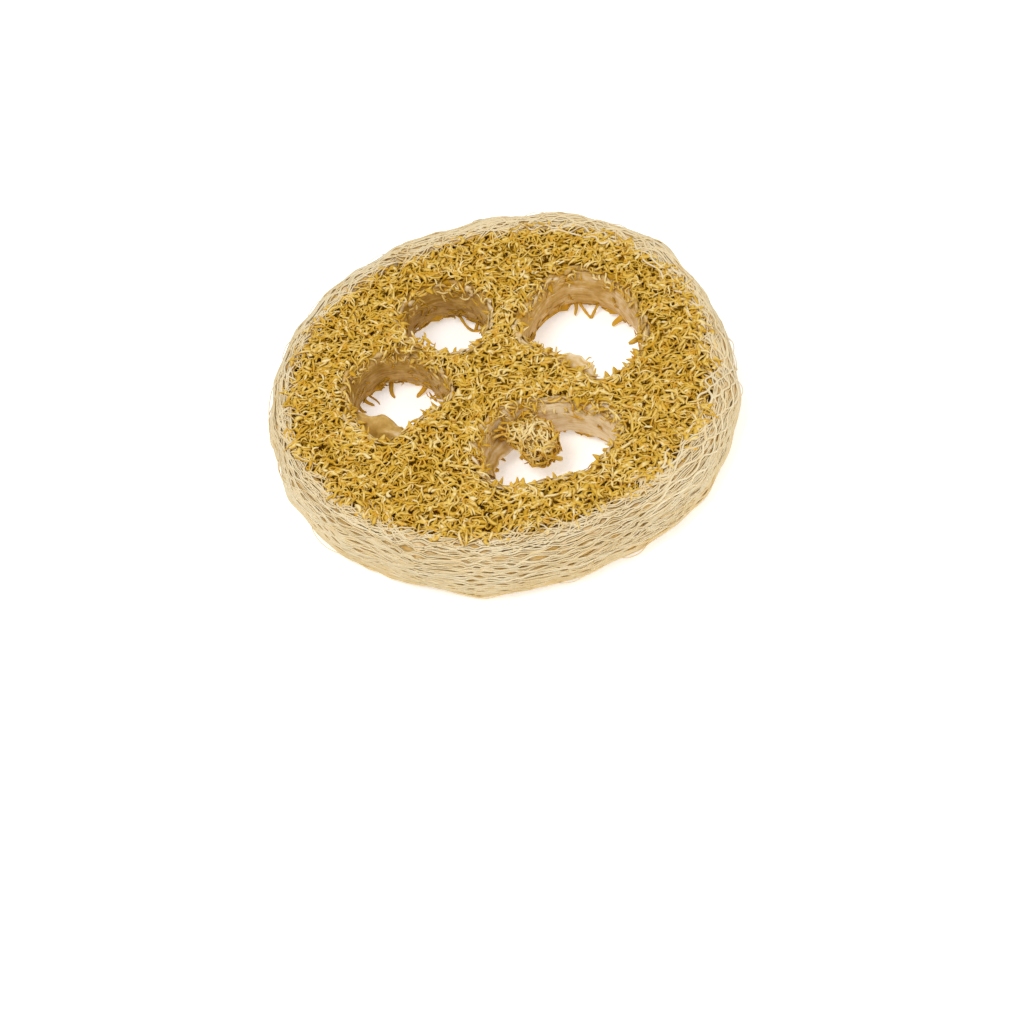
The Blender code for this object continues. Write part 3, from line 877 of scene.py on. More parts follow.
# %% Golden fibres: both faces
CURL_RIM_GAP = -1.6
DEEP_MESH = {"step": 2.1, "share": 0.62, "depth": (1.0, 1.8), "points": 6}
TOP_MESH = {"share": 0.56, "depth": (0.3, 1.0), "points": 7}
KINDS = (
    ("loose", curl_radii, (0.17, 0.34), (2.0, 5.0), (0.3, 0.9), 0.85),
    ("flake", flake_radii, (0.36, 0.62), (1.5, 3.6), (0.2, 0.8), 0.42),
)


def golden_piece(name, paths, radii, tones, sides, top=True, **more):
    """A piece of golden strands, on the upper face or turned over to the lower one."""
    # The painted highlight is turned over with the lower face, so it stays on the side facing out
    # of the slice.
    painted_highlight = PAINTED_HIGHLIGHT
    if not top:
        painted_highlight = -PAINTED_HIGHLIGHT
        paths = paths * [1.0, 1.0, -1.0] + [0.0, 0.0, THICKNESS]
    item = strands(name, paths, radii, tones, sides=sides, painted_highlight=painted_highlight, **more)
    golden_part(item, golden)


def make_face(side, seed, top, sides, step, **counts):
    """Deep and upper joined mesh, loose curls and flat flakes of one cut face. The curls lie at
    random places, each point at its level below the surface."""
    rng = np.random.default_rng(seed)
    paths, level = joined_paths(rng, **DEEP_MESH)
    radii = joined_radii(rng, paths, 0.3, 0.44)
    golden_piece(f"{side}_deep_fibres", paths, radii, depth_shaded_tones(rng, level, 0.5, 0.1), 3, top)
    paths, level = joined_paths(rng, step, **TOP_MESH)
    radii = joined_radii(rng, paths, 0.19, 0.32)
    tones = depth_shaded_tones(rng, level, 0.58, 0.14)
    golden_piece(f"{side}_joined_fibres", paths, radii, tones, sides, top)
    for kind, shape, thick, length, depth, flat in KINDS:
        curls = curl_walk(rng, counts[kind], length, turn=0.95, wave=0.5)
        level = curl_levels(rng, len(curls), depth, (0.0, 0.6), 0.7)
        xy = curls + random_places(rng, len(curls), FACE_GAP - 0.3, CURL_RIM_GAP)[:, None]
        paths = raised(xy, THICKNESS - face_depth(xy) - level)
        radii = shape(rng, paths, *thick)
        tones = depth_shaded_tones(rng, level, 0.59, 0.13)
        lean = random_lean(rng, paths)
        golden_piece(f"{side}_{kind}_fibres", paths, radii, tones, sides, top, lean=lean, flat=flat)


make_face("upper", 11, True, 4, step=1.6, loose=1850, flake=1150)
make_face("lower", 12, False, 3, step=2.2, loose=1200, flake=620)

# %% [markdown]
# ## Rolled rims of the chambers
# Round each chamber the mat's face rolls over and down. The same curls lie there, walked on the
# surface of the roll: one way round the chamber's curve, the other way down the quarter circle.
# On the far sides they hang lower down the wall. At the roll's lower edge stout teeth stand out
# into the chamber, and pale scraps of the lining are caught between the fibres.

# %% Rolled rims of the chambers
ROLL_LENGTH = ROLL_RADIUS * math.pi / 2
SCRAP_SPACING = 1.3
TOOTH_REACH = (1.2, 2.3)
TOOTH_POINTS = 5


def loop_length(loop):
    """Length of a closed loop: the steps between its neighbours, summed."""
    return np.hypot(*(np.roll(loop, -1, 0) - loop).T).sum()


def place_round(loop, way):
    """Place round a loop `way` mm from its start, counted in its points and parts of one."""
    return way / loop_length(loop) * len(loop)


def round_loop(loop, way):
    """Points of a loop `way` mm round it, and its normals there, both read between its own
    points in proportion."""
    place = place_round(loop, way)
    low = np.floor(place).astype(int)
    share = (place - low)[..., None]
    away = outward(loop)
    low, high = low % len(loop), (low + 1) % len(loop)
    return between(loop[low], loop[high], share), unit(between(away[low], away[high], share))


def on_roll(loop, way, down, level):
    """Points on the roll: `way` mm round the curve, `down` mm from the flat face over the
    quarter circle and on down the wall, and `level` mm below that surface."""
    base, away = round_loop(loop, way)
    bend = np.clip(down / ROLL_RADIUS, 0.0, math.pi / 2)
    radius = ROLL_RADIUS - level
    out = ROLL_RADIUS - radius * np.sin(bend) - np.minimum(down, 0.0)
    height = THICKNESS - ROLL_RADIUS + radius * np.cos(bend) - np.maximum(down - ROLL_LENGTH, 0.0)
    return raised(base + away * out[..., None], height)


def facing(loop, way):
    """How much the wall faces the front there: 1 on a chamber's far side, -1 on its near side."""
    return outward(loop)[place_round(loop, way).astype(int) % len(loop), 1]


def make_rolls(side, seed, top, sides, per_area, lowest):
    """Curls on the rolled rims of all chambers, as one piece. On the far sides they hang lower,
    and more of them are kept there, so that they lie as close as elsewhere."""
    rng = np.random.default_rng(seed)
    paths, levels = [], []
    for loop in CHAMBER_LOOPS:
        length = loop_length(loop)
        count = int(length * (2 * lowest + 1.0) * per_area)
        walk = curl_walk(rng, count, (1.4, 4.2), turn=1.0, wave=0.5)
        way = walk[..., 0] + rng.uniform(0.0, length, (count, 1))
        at = raised(way[:, :1], np.zeros(count))
        tufts = 0.3 * drift(at, seed + 40, 8.0) + 0.22 * drift(at, seed + 41, 3.0)
        far = np.clip(facing(loop, way[:, :1]), -0.2, 1.0)
        end = lowest * (0.95 + tufts[:, None] + 0.75 * far)
        down = walk[..., 1] + rng.uniform(0.0, 1.0, (count, 1)) ** 1.15 * (end + 1.0) - 1.0
        kept = rng.random(count) < (end[:, 0] + 1.0) / (2 * lowest + 1.0)
        way, down = way[kept], down[kept]
        levels.append(curl_levels(rng, len(way), (0.0, 0.7), (0.0, 0.5), 0.9))
        paths.append(on_roll(loop, way, down, levels[-1]))
    paths, level = np.concatenate(paths), np.concatenate(levels)
    radii = curl_radii(rng, paths, 0.19, 0.38)
    tones = depth_shaded_tones(rng, level, 0.58, 0.16)
    lean = random_lean(rng, paths)
    golden_piece(f"{side}_rim_fibres", paths, radii, tones, sides, top, lean=lean, flat=0.75)


def tooth_paths(rng, loop, spacing, down, t):
    """Teeth: from the roll's surface out into the chamber, falling or rising a little and
    leaning sideways, at random steps round it. On the near side they start higher and reach
    farther, and on the far side only one in four is kept."""
    length = loop_length(loop)
    count = int(length / spacing)
    way = rng.uniform(0.0, length, (count, 1))
    way = way[(facing(loop, way[:, 0]) < 0.1) | (rng.random(count) < 0.25)]
    count = len(way)
    way = way + rng.normal(0.0, 0.8, (count, 1)) * t
    near = np.clip(-facing(loop, way[:, :1]), 0.0, 1.0)
    reach = rng.uniform(*TOOTH_REACH, (count, 1)) * (1.0 + 0.1 * near)
    start = rng.uniform(*down, (count, 1)) - 1.3 * near
    fall = start + rng.uniform(-0.5, 0.9, (count, 1)) * reach * t**1.5
    return on_roll(loop, way, fall, 0.6 - reach * t)


def make_teeth(side, seed, top, spacing, down):
    """The teeth of all chambers on one face, each tapered by a power of the way to its tip."""
    rng = np.random.default_rng(seed)
    t = np.linspace(0.0, 1.0, TOOTH_POINTS)
    paths = np.concatenate([tooth_paths(rng, loop, spacing, down, t) for loop in CHAMBER_LOOPS])
    radii = rng.uniform(0.45, 1.05, (len(paths), 1)) * (1.0 - 0.82 * t**1.5)
    golden_piece(f"{side}_teeth", paths, radii, own_tones(rng, paths, 0.5, 0.12), 6, top, flat=0.5)


def make_scraps():
    """Scraps of pale lining caught between the fibres low on the rims: broad, flat curls."""
    rng = np.random.default_rng(26)
    paths, leans = [], []
    for loop in CHAMBER_LOOPS:
        length = loop_length(loop)
        count = int(length / SCRAP_SPACING)
        walk = curl_walk(rng, count, (1.8, 4.6), turn=0.9, wave=0.4, aligned=True)
        way = walk[..., 0] + rng.uniform(0.0, length, (count, 1))
        far = facing(loop, way[:, 3:4])
        down = walk[..., 1] * 0.6 + rng.uniform(1.0, 3.2, (count, 1)) + 1.8 * np.clip(far, 0.0, 1.0)
        level = rng.uniform(-0.12, 0.25, (count, 1)) + np.zeros_like(way)
        kept = (far[:, 0] < 0.2) | (rng.random(count) < 0.4)
        way, down, level = way[kept], down[kept], level[kept]
        paths.append(on_roll(loop, way, down, level))
        leans.append(unit(paths[-1] - on_roll(loop, way, down, level + 0.5)))
    paths, lean = np.concatenate(paths), np.concatenate(leans)
    radii = flake_radii(rng, paths, 0.35, 0.8)
    tones = rng.uniform(0.35, 0.8, (len(paths), 1))
    scraps = strands("rim_skin_scraps", paths, radii, tones, sides=4, lean=lean, flat=0.3)
    golden_part(scraps, membrane)


make_rolls("upper", 21, True, 4, 0.78, 4.4)
make_scraps()
make_rolls("lower", 22, False, 3, 0.4, 1.1)
make_teeth("upper", 23, True, 1.35, (2.4, 5.0))
make_teeth("lower", 24, False, 24.0, (2.4, 3.4))

# %% [markdown]
# ## Knot and hanging strands
# In the front chamber a knot of fibre stands on the far wall. The core already holds its solid
# form. Curls are laid over it: flat curls wrapped onto an ellipsoid, painted pale on top and
# golden below as painted light and shade, and wavy ties cross from the wall to it. From the
# chambers' edges hang drips, which are short and blunt and taper from a broad foot in the wall,
# and a few strands that bend back as loops, each a curve through four places. A drip has its tip,
# thickness and tone, and a loop has its four places, thickness and tone.

# %% Knot and hanging strands
KNOT_CENTRE = np.array([5.3, -15.0, 6.8])
KNOT_RADII = np.array([3.8, 5.0, 3.7])
NECK_CENTRE = np.array([2.5, -12.3, 7.6])
NECK_RADII = np.array([3.4, 3.2, 2.9])
KNOT_PARTS = (
    ("knot_fibres", 250, KNOT_CENTRE, KNOT_RADII),
    ("knot_neck_fibres", 120, NECK_CENTRE, NECK_RADII),
)
WRAPPED_LENGTHS, WRAPPED_RISE, WRAPPED_TILT = (2.2, 5.5), (-0.14, 0.16), (-0.14, 0.3)
KNOT_TIES = 22
TIE_LINE = (np.array([-4.6, -12.6, 0.0]), np.array([4.6, -8.4, 0.0]))
TIE_HEIGHTS = (5.4, 11.2)
TIE_HEADING = (-0.5, 0.55, 0.35)
HANG_POINTS = 8
BEND_POINTS = 9
# A drip's tone is partly its own colour and partly painted shade: drips that hang in a chamber's
# shade get the darkest tones.
DRIPS = (
    (-23.6, 10.6, 0.3, 0.42, 0.02),
    (-18.6, 9.4, 0.3, 0.5, 0.34),
    (-28.4, 9.0, 0.4, 0.36, 0.1),
    (-27.1, 9.4, 0.1, 0.2, 0.1),
    (-30.0, 7.6, 0.5, 0.34, 0.12),
    (-2.3, -12.9, 0.3, 0.34, 0.4),
    (-3.9, -15.6, 0.8, 0.62, 0.3),
    (1.9, -12.4, 0.5, 0.55, 0.5),
    (26.0, 20.4, 0.6, 0.6, 0.45),
    (18.6, 25.6, 0.6, 0.36, 0.4),
    (27.9, 6.8, 9.0, 0.62, 0.45),
    (28.4, 1.4, 9.4, 0.5, 0.5),
    (15.4, 2.6, 10.4, 0.5, 0.5),
    (11.6, 7.4, 10.6, 0.45, 0.55),
)
LOOPS = (
    ((-7.0, 30.0, 2.8), (-5.6, 27.4, 0.8), (-3.9, 26.2, 0.4), (-1.6, 25.6, 1.6), 0.32, 0.2),
    ((-3.9, 26.4, 0.4), (-3.0, 27.6, 1.8), (-2.2, 27.2, 3.4), (-1.2, 26.6, 5.0), 0.36, 0.34),
    ((19.6, 28.0, 2.2), (20.4, 26.6, 1.0), (21.2, 25.0, 0.4), (21.6, 24.4, 0.3), 0.34, 0.36),
    ((21.6, 24.4, 0.3), (22.2, 25.0, 0.6), (23.0, 25.8, 1.4), (24.2, 26.6, 2.6), 0.36, 0.4),
    ((6.6, -18.4, 6.6), (7.6, -18.8, 6.3), (8.6, -19.2, 5.8), (9.6, -19.2, 5.5), 0.6, 0.5),
    ((6.8, -17.2, 8.2), (7.8, -16.9, 8.6), (8.6, -16.4, 9.0), (9.6, -15.6, 9.4), 0.42, 0.5),
    ((4.2, -16.6, 7.0), (3.1, -16.6, 6.4), (2.1, -16.4, 5.6), (1.0, -16.8, 4.8), 0.55, 0.42),
)
FOOT_OUT, FOOT_RISE = 1.6, 1.7
HANGING_LEAN = (0.1, -0.9, 0.4)


def wrapped_curls(rng, count, centre, radii):
    """Flat curls laid on a ball at random spots, each in the plane that touches it there, then
    drawn to the ball's surface and stretched to the ellipsoid, with a rise and a tilt."""
    spot = unit(rng.normal(0.0, 1.0, (count, 3)))
    across = unit(np.cross(spot, rng.normal(0.0, 1.0, (count, 3))))
    up = np.cross(spot, across)
    walk = curl_walk(rng, count, WRAPPED_LENGTHS, turn=2.2, wave=0.8) / radii.mean()
    ball = spot[:, None] + walk[..., :1] * across[:, None] + walk[..., 1:] * up[:, None]
    tilt = rng.uniform(*WRAPPED_TILT, (count, 1, 1)) * (2 * CURL_WAY - 1)[None, :, None]
    lift = 1.0 + rng.uniform(*WRAPPED_RISE, (count, 1, 1)) + tilt
    return centre + unit(ball) * lift * radii, np.broadcast_to(spot[:, None], ball.shape)


def make_knot():
    """The curls of the knot and of its neck, painted paler with their height over its centre, as
    painted light.
    """
    rng = np.random.default_rng(61)
    for name, count, centre, size in KNOT_PARTS:
        paths, lean = wrapped_curls(rng, count, centre, size)
        radii = curl_radii(rng, paths, 0.17, 0.38)
        tones = 0.6 + 0.1 * (paths[..., 2] - centre[2]) + rng.normal(0.0, 0.12, (count, 1))
        golden_piece(name, paths, radii, np.clip(tones, 0.05, 1.0), 4, lean=lean)


def make_ties():
    """Ties from the far wall to the knot: straight from a random place on the wall to one on the
    ellipsoid, with a random bow of half a sine wave on all three axes."""
    rng = np.random.default_rng(62)
    foot = between(*TIE_LINE, rng.random((KNOT_TIES, 1)))
    foot[:, 2] = rng.uniform(*TIE_HEIGHTS, KNOT_TIES)
    heading = unit(rng.normal(0.0, 0.45, (KNOT_TIES, 3)) + TIE_HEADING)
    head = KNOT_CENTRE + heading * KNOT_RADII
    t = np.linspace(0.0, 1.0, HANG_POINTS)[None, :, None]
    bow = rng.normal(0.0, 0.7, (KNOT_TIES, 1, 3)) * arch(t)
    paths = between(foot[:, None], head[:, None], t) + bow
    radii = joined_radii(rng, paths, 0.16, 0.34)
    tones = own_tones(rng, paths, 0.56, 0.14)
    golden_piece("knot_ties", paths, radii, tones, 4, lean=(0.1, -0.6, 0.7), flat=0.7)


def make_drips():
    """Drips: from a foot outside the nearest chamber outline, in and down to the tip, the height
    falling by a power of the way. A sine wave bends them a little aside."""
    outline = np.concatenate(CHAMBER_LOOPS)
    away = np.concatenate([outward(loop) for loop in CHAMBER_LOOPS])
    table = np.array(DRIPS)
    tip, thick, tone = table[:, :3], table[:, 3:4], table[:, 4:5]
    near = np.hypot(*(tip[:, None, :2] - outline[None]).transpose(2, 0, 1)).argmin(axis=1)
    foot = outline[near] + FOOT_OUT * away[near]
    t = np.linspace(0.0, 1.0, HANG_POINTS)[None, :]
    wide = t[..., None]
    along = unit(tip[:, :2] - foot)
    aside = np.stack([-along[:, 1], along[:, 0]], axis=-1)[:, None]
    wave = 0.3 * aside * np.sin(1.5 * np.pi * wide + tip[:, :1, None])
    flat = between(foot[:, None], tip[:, None, :2], wide) + wave
    paths = raised(flat, tip[:, 2:] + FOOT_RISE * (1 - t) ** 1.4)
    radii = thick * (1.5 - 0.75 * t) * np.where(t > 0.95, 0.6, 1.0)
    golden_piece("drips", paths, radii, tone, 7, lean=HANGING_LEAN, flat=0.8)


def make_loops():
    """Loops, a little thinner to one end, with knuckles as a fast sine wave."""
    t = np.linspace(0.0, 1.0, BEND_POINTS)
    paths = np.stack([four_point_curve(row[:4], t) for row in LOOPS])
    thick, tones = (np.array([row[k] for row in LOOPS])[:, None] for k in (4, 5))
    radii = thick * (1.15 - 0.4 * t) * (1.0 + 0.12 * np.sin(17 * t))
    golden_piece("hanging_loops", paths, radii, tones, 6, lean=HANGING_LEAN, flat=0.8)


make_knot()
make_ties()
make_drips()
make_loops()

# %% [markdown]
# ## Fibres on the chamber walls
# Some fibres of the mat show on the skin of the chambers, stuck flat on it and darker in tone. They
# run mostly round the chamber, on the waist of the wall and on the lower roll. Others lie on the
# ledges.

# %% Fibres on the chamber walls
WALL_FIBRES = (90, 50, 70, 36)
LEDGE_CURLS = ((34, 0.0, 0.35), (110, 0.0, 0.95), (16, 0.1, 0.6))


def make_wall_fibres():
    """Flat curls on the wall: one way round the outline, the other down between the rolls. Their
    step out of the outline is the waist's half sine wave less a little."""
    rng = np.random.default_rng(65)
    paths = []
    for loop, count in zip(CHAMBER_LOOPS, WALL_FIBRES):
        walk = curl_walk(rng, count, (1.2, 4.5), turn=0.9, aligned=True)
        way = walk[..., 0] + rng.uniform(0.0, loop_length(loop), (count, 1))
        height = walk[..., 1] * 0.8 + rng.triangular(1.4, 2.4, 9.6, (count, 1))
        share = np.clip((height - ROLL_RADIUS) / (THICKNESS - 2 * ROLL_RADIUS), 0.0, 1.0)
        bow = WAIST * arch(share) + rng.uniform(-0.15, 0.2, (count, 1))
        under = ROLL_RADIUS - np.clip(height, 0.5, ROLL_RADIUS)
        roll = ROLL_RADIUS - np.sqrt(ROLL_RADIUS**2 - under**2)
        base, _ = round_loop(loop, way)
        away = outward(loop)[np.floor(place_round(loop, way)).astype(int) % len(loop)]
        paths.append(raised(base + away * (roll - bow)[..., None], height))
    paths = np.concatenate(paths)
    radii = flake_radii(rng, paths, 0.14, 0.34)
    tones = own_tones(rng, paths, 0.22, 0.16, high=0.8)
    golden_piece("wall_fibres", paths, radii, tones, 3, lean=(0.05, -0.9, 0.4), flat=0.7)


def make_ledge_curls():
    """Curls laid on the ledges: walked along the ledge one way and from root to edge the other,
    on its upper side, which stands over its middle by the sine of the loop."""
    rng = np.random.default_rng(66)
    paths = []
    for (root, edge, heights, half, _), (count, low, high) in zip(LEDGES, LEDGE_CURLS):
        length = np.linalg.norm(np.subtract(root[-1], root[0]))
        width = np.linalg.norm(np.subtract(root, edge), axis=1).mean()
        walk = curl_walk(rng, count, (1.4, 3.6))
        t = np.clip(walk[..., 0] / length + rng.random((count, 1)), -0.05, 1.05)
        share = walk[..., 1] / width + rng.uniform(low, high, (count, 1))
        ends = [four_point_curve(side, t.ravel()).reshape(*t.shape, 2) for side in (root, edge)]
        dome = np.sqrt(np.clip(1 - (2 * share - 1) ** 2, 0.0, 1.0))
        height = between(*heights, share) + half * dome
        height = height + curl_levels(rng, count, (-0.5, 0.1), (-0.3, 0.5), 0.8)
        paths.append(raised(between(*ends, share[..., None]), height))
    paths = np.concatenate(paths)
    radii = curl_radii(rng, paths, 0.18, 0.36)
    tones = own_tones(rng, paths, 0.6, 0.14)
    golden_piece("ledge_fibres", paths, radii, tones, 4, lean=random_lean(rng, paths))


make_wall_fibres()
make_ledge_curls()

# %% [markdown]
# ## Net skin: the bed
# Round the rim lies a net of pale strands several layers deep. Its bed is a closed ring in place
# of the deepest layers, which show golden brown through the meshes. Its section is a rounded
# rectangle that is open towards the mat.

# %% Net skin: section and bed
SKIN_INSET = 0.2
SKIN_CORNER = 0.42
SKIN_WIDTH = BELLY_RADIUS - RIM_RADIUS[0]
SECTION_POINTS = 400
SLOPE_STEP = 0.25
SKIN_GAP = 0.3
WALL_STEP = 2.7
BED_DEPTH = 0.66
BED_ROUND = 360
BED_ROWS = 40
BED_TONE = 0.52
BULGE, BULGE_WAVE = 0.56, 12.0


def make_section():
    """The skin's outer section from the top lip over the belly to the bottom lip: a superellipse
    (cosine and sine raised to a power under one), with its length up to each point."""
    bend = np.linspace(math.pi / 2, -math.pi / 2, SECTION_POINTS)
    half = THICKNESS / 2 - SKIN_INSET
    out = np.abs(np.cos(bend)) ** SKIN_CORNER
    rise = np.sign(np.sin(bend)) * np.abs(np.sin(bend)) ** (2 * SKIN_CORNER)
    z = THICKNESS / 2 + half * rise
    steps = np.hypot(SKIN_WIDTH * np.diff(out), np.diff(z))
    return np.concatenate([[0.0], np.cumsum(steps)]), out, z


SECTION_LENGTH, SECTION_OUT, SECTION_Z = make_section()
SKIN_LENGTH = SECTION_LENGTH[-1]
print("the skin's section is", SKIN_LENGTH.round(1), "mm long")


def section_at(along):
    """Out (0 at the golden face's edge to 1 at the belly) and height at a length along the
    section in mm. Past either end it runs on over the golden face."""
    out = np.interp(along, SECTION_LENGTH, SECTION_OUT)
    past = np.minimum(along, 0.0) + np.minimum(SKIN_LENGTH - along, 0.0)
    return out + past / SKIN_WIDTH, np.interp(along, SECTION_LENGTH, SECTION_Z)


def skin_points(turn, along, deep):
    """Points of the skin at a turn round the rim and a length along its section, sunk by `deep`
    square to the surface, with the surface's normals."""
    edge = ring(turn, RIM_RADIUS, SKIN_GAP)
    belly = ring(turn, (BELLY_RADIUS, BELLY_RADIUS))
    width = np.linalg.norm(belly - edge, axis=-1)
    radial = (belly - edge) / width[..., None]
    out, z = section_at(along)
    ahead_out, ahead_z = section_at(along + SLOPE_STEP)
    back_out, back_z = section_at(along - SLOPE_STEP)
    dr, dz = (ahead_out - back_out) * width, ahead_z - back_z
    size = np.maximum(np.hypot(dr, dz), 1e-6)
    normal = raised(radial * (-dz / size)[..., None], dr / size)
    flat = edge + radial * (out * width)[..., None]
    return raised(flat, z) - normal * deep[..., None], normal


def skin_place(turn, along):
    """Three coordinates for fields on the skin: round the rim on a circle, and along."""
    turn, along = np.broadcast_arrays(turn, along)
    return np.stack([BELLY_RADIUS * np.cos(turn), BELLY_RADIUS * np.sin(turn), along], axis=-1)


def bulge(turn, along):
    """How far the net swells out, in mm: a drift over the skin."""
    return BULGE * drift(skin_place(turn, along) * [1, 1, 0.5], 70, BULGE_WAVE)


def make_bed():
    """The bed's grid: round the rim one way, and round its closed section the other. Inwards of
    its outer side the section has five more places, given by their step out of the golden
    face's edge and their height. Its tone drifts, and is painted palest at the top lip, as painted
    light that lifts the shade of the narrow gaps there."""
    turn = np.linspace(0, 2 * np.pi, BED_ROUND, endpoint=False)[:, None]
    turn, along = np.broadcast_arrays(turn, np.linspace(0.0, SKIN_LENGTH, BED_ROWS)[None, :])
    at = skin_place(turn, along)
    deep = BED_DEPTH - bulge(turn, along) + 0.12 * drift(at, 71, 4.0)
    deep[:, 0] = deep[:, -1] = BED_DEPTH
    outer, _ = skin_points(turn, along, deep)
    steps = ((0.5, 2.1), (WALL_STEP - 0.1, 3.2), (WALL_STEP + SKIN_GAP, THICKNESS / 2))
    steps += tuple((step, THICKNESS - z) for step, z in steps[1::-1])
    inner = [
        raised(ring(turn[:, 0], RIM_RADIUS, step), np.full(BED_ROUND, z)) for step, z in steps
    ]
    points = np.concatenate([outer, np.stack(inner, axis=1)], axis=1)
    quads = grid_quads(*points.shape[:2], round_rows=True, round_columns=True)[:, [0, 3, 2, 1]]
    tone = np.full(points.shape[:2], BED_TONE)
    # Painted light: the bed is made paler over its first few mm from the top lip.
    tone[:, :BED_ROWS] += 0.2 * drift(at, 72, 6.0) + 0.2 * np.clip(2 - 0.4 * along, 0, 1)
    bed = write_mesh("net_bed", points.reshape(-1, 3), [quads], tone.ravel())
    bed.data.materials.append(membrane)
    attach(bed, "root")
    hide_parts("net_skin")


make_bed()

# %% [markdown]
# ## Net skin: long strands
# The strands run round the rim side by side in flat bands. Each band swings in waves against its
# neighbours, so they meet and part and leave slender meshes between them, closed in some places
# and open in others. Two thin strands lie along every band's sides and a finer one along its
# middle. On the right side the bands sink at the shoulder, where an open mesh of diamonds lies
# over them.

# %% Net skin: long strands
NET_STEPS = 400
LANES = 17
MESHES_ROUND = 64
OPEN_FROM, OPEN_TO = math.radians(-62), math.radians(92)
OPEN_EASE = math.radians(28)
SHOULDER_END = 8.0
OWN_WANDER = 0.17
# How much paler a pale strand's upper side is painted, and its lower side darker: painted light and
# shade.
PALE_PAINTED_HIGHLIGHT = 0.2


def openness(turn, along):
    """One where the net is open: on the shoulder, between two turns, easing to nought."""
    turn = np.mod(turn + np.pi, 2 * np.pi) - np.pi
    begun = np.clip((turn - OPEN_FROM) / OPEN_EASE, 0, 1)
    ease = begun * np.clip((OPEN_TO - turn) / OPEN_EASE, 0, 1)
    return ease * np.clip((SHOULDER_END - along) / 3.0, 0, 1)


def upside_down(lane):
    """One for even lanes, and minus one for odd ones, whose wave is turned over."""
    return np.where(lane % 2 == 0, 1.0, -1.0)


def lane_paths(copies, aside, deep):
    """Closed strands, a few copies to a lane, set `aside` mm from each other. Each keeps its lane
    along the section, plus a wave that the next lane has upside down, with an amplitude that
    drifts, plus a slow sway that neighbours share and a small wander of its own."""
    turn = np.linspace(0, 2 * np.pi, NET_STEPS, endpoint=False)[None, :]
    lane = np.repeat(np.arange(LANES), copies)[:, None]
    pitch = SKIN_LENGTH / LANES
    turn, middle = np.broadcast_arrays(turn, (lane + 0.5) * pitch)
    at = skin_place(turn, middle)
    phase = MESHES_ROUND * turn + 2.6 * drift(at, 81, 34.0) + 1.2 * drift(at, 86, 9.0)
    size = pitch * np.clip(0.17 + 0.2 * drift(at, 82, 10.0), 0.0, 0.42)
    shared = 0.75 * drift(at, 83, 32.0) + 0.3 * drift(at, 85, 11.0)
    number = np.tile(np.arange(copies), LANES)[:, None]
    apart = at + 70.0 * np.arange(LANES * copies)[:, None, None]
    own = aside * (number - (copies - 1) / 2) + OWN_WANDER * (copies - 1) * drift(apart, 87, 5.0)
    along = middle + upside_down(lane) * size * np.sin(phase) + shared + own
    sunk = deep + 0.12 * drift(at, 84, 5.0) + 0.1 * drift(apart, 88, 6.0)
    return skin_points(turn, along, sunk - bulge(turn, along) + 0.12 * openness(turn, along))


def pale_piece(name, paths, radii, tones, sides, lean, flat=0.85, closed=False):
    """A piece of pale strands, darker by degrees from half height down to the bottom lip, as
    painted shade.
    """
    tones = tones - 0.38 * np.clip(1 - 2 * paths[..., 2] / THICKNESS, 0, 1)
    looks = {"sides": sides, "lean": lean, "flat": flat, "painted_highlight": PALE_PAINTED_HIGHLIGHT}
    item = strands(name, paths, radii, tones, closed=closed, **looks)
    item.data.materials.append(pale)
    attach(item, "root")


def make_lanes(name, seed, copies, aside, deep, thick, tone, flat):
    """One piece of strands for all lanes, whose thickness and tone drift along them."""
    rng = np.random.default_rng(seed)
    paths, normals = lane_paths(copies, aside, deep)
    count = len(paths)
    radii = rng.uniform(*thick, (count, 1)) * (1 + 0.16 * drift(paths, seed, 6.0))
    tones = rng.normal(tone, 0.08, (count, 1)) + 0.12 * drift(paths, seed + 5, 14.0)
    pale_piece(name, paths, radii, tones, 3, normals, flat, closed=True)


make_lanes("net_bands", 32, 1, 0.0, 0.58, (0.5, 0.62), 0.62, 0.36)
make_lanes("net_strands", 31, 2, 0.62, 0.34, (0.19, 0.27), 0.7, 0.8)
make_lanes("net_fine_strands", 33, 1, 0.0, 0.37, (0.13, 0.2), 0.78, 0.9)

# %% Net skin: open mesh of the shoulder
MESH_LANES = 7
MESH_PITCH = 1.5
MESH_START = -1.5
MESH_PERIOD = 7.0
MESH_STEP = 0.55


def mesh_paths(rng):
    """Open lanes between the two turns, each a wave upside down to its neighbours, wide enough
    that they touch: together a mesh of diamonds. Both ends dive under the close strands."""
    steps = int((OPEN_TO - OPEN_FROM) * BELLY_RADIUS / MESH_STEP)
    t = np.linspace(0.0, 1.0, steps)[None, :]
    lane = np.arange(MESH_LANES)[:, None]
    turn = OPEN_FROM + (OPEN_TO - OPEN_FROM) * t + rng.uniform(-0.06, 0.06, (MESH_LANES, 1))
    middle = MESH_START + lane * MESH_PITCH + np.zeros_like(t)
    at = skin_place(turn, middle)
    phase = turn * BELLY_RADIUS * 2 * np.pi / MESH_PERIOD + 2.4 * drift(at, 91, 13.0)
    wave = np.sin(phase) + 0.08 * np.sin(3 * phase)
    size = MESH_PITCH * (0.42 + 0.2 * drift(at, 92, 8.0))
    along = middle + upside_down(lane) * wave * size + 0.7 * drift(at, 93, 14.0)
    ends = np.clip(np.abs(2 * t - 1) * 8 - 7, 0, 1)
    sunk = 0.22 - bulge(turn, along) + 0.15 * drift(at, 94, 4.0) + 0.7 * ends
    return skin_points(turn, along, sunk)


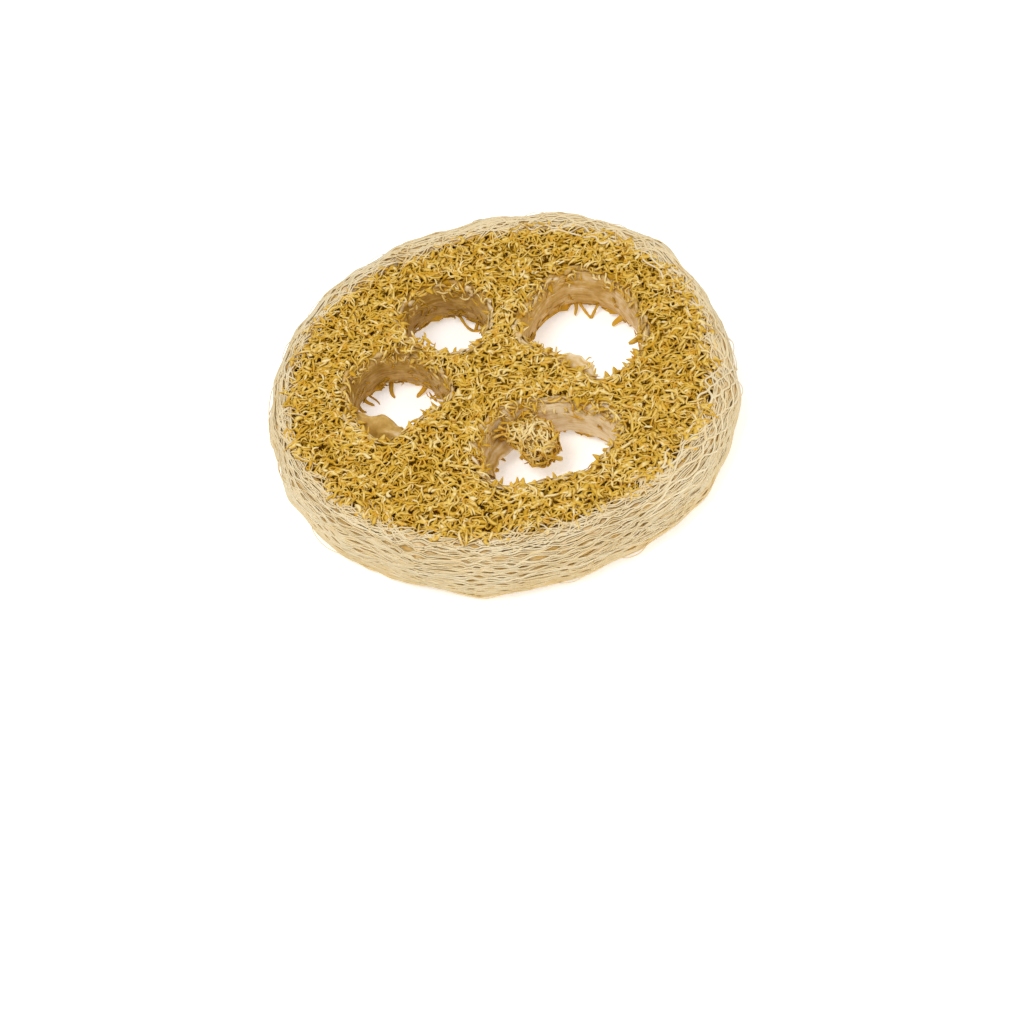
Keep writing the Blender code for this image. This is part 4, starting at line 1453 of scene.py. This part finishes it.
def make_shoulder_mesh():
    """The open mesh as one piece."""
    rng = np.random.default_rng(35)
    paths, normals = mesh_paths(rng)
    radii = rng.uniform(0.2, 0.28, (len(paths), 1)) * (1 + 0.2 * drift(paths, 95, 3.0))
    pale_piece("net_open_mesh", paths, radii, own_tones(rng, paths, 0.72, 0.08), 4, normals)


make_shoulder_mesh()

# %% [markdown]
# ## Net skin: crossing and stray strands
# Shorter strands leave one lane and join another at a slight angle, and tie the net together.
# At the top and bottom lips others slant over the edge into the golden mat, and some thin ones
# have come loose and bow out of the outline.

# %% Net skin: crossing and stray strands
UNDER_TURN = 1.3


def slanted_places(rng, count, length, start, shift, deep, lift, points):
    """Turns, places along the section and depths of open strands. The turn runs at an even rate,
    and the place eases from one to another as a half cosine does, with a small ripple. Both ends
    sink, and the middle is lifted by half a sine wave."""
    t = np.linspace(0.0, 1.0, points)[None, :]
    reach = rng.uniform(*length, (count, 1)) / BELLY_RADIUS
    reach = reach * rng.choice((-1.0, 1.0), (count, 1))
    turn = rng.uniform(0, 2 * np.pi, (count, 1)) + reach * (t - 0.5)
    begin = rng.uniform(*start, (count, 1))
    ease = 0.5 - 0.5 * np.cos(np.pi * t)
    along = begin + rng.uniform(*shift, (count, 1)) * ease + 0.12 * np.sin(6 * np.pi * t)
    rise = rng.uniform(*lift, (count, 1)) * arch(t)
    return turn, along, deep + 0.35 * (2 * t - 1) ** 6 - rise


def make_slanted(name, seed, count, tone, thick, fade=0.0, points=10, twice=False, **where):
    """One piece of slanted strands, which `fade` in tone to their tips. With `twice`, the same
    strands lie on the lower lip too, moved on round the rim."""
    rng = np.random.default_rng(seed)
    turn, along, sunk = slanted_places(rng, count, points=points, **where)
    t = np.linspace(0.0, 1.0, points)
    radii = rng.uniform(*thick, (count, 1)) * (1.0 - 0.35 * t**4)
    tones = np.clip(rng.normal(tone, 0.12, (count, 1)) - fade * t**2, 0, 1)
    if twice:
        turn = np.concatenate([turn, turn + UNDER_TURN])
        along = np.concatenate([along, SKIN_LENGTH - along])
        sunk, radii, tones = (np.tile(part, (2, 1)) for part in (sunk, radii, tones))
    paths, normals = skin_points(turn, along, sunk - bulge(turn, along))
    pale_piece(name, paths, radii, tones, 3, normals)


make_slanted(
    "net_crossing_strands", 41, 420, 0.7, (0.16, 0.26), points=12, length=(8.0, 22.0),
    start=(0.3, SKIN_LENGTH - 0.3), shift=(-2.2, 2.2), deep=0.26, lift=(0, 0.08),
)
make_slanted(
    "net_lip_strands", 42, 280, 0.66, (0.17, 0.28), fade=0.35, twice=True, length=(3.0, 10.0),
    start=(0.6, 3.2), shift=(-4.4, -1.6), deep=0.3, lift=(0, 0.2),
)
make_slanted(
    "net_stray_strands", 43, 100, 0.75, (0.1, 0.16), points=14, length=(4.0, 12.0),
    start=(2.5, SKIN_LENGTH - 2.5), shift=(-2.5, 2.5), deep=0.3, lift=(0.3, 0.95),
)

# %% [markdown]
# ## Triangles
# The triangles of all the pieces are counted.

# %% Triangles in all
print("triangles in all", sum(tally.values()))
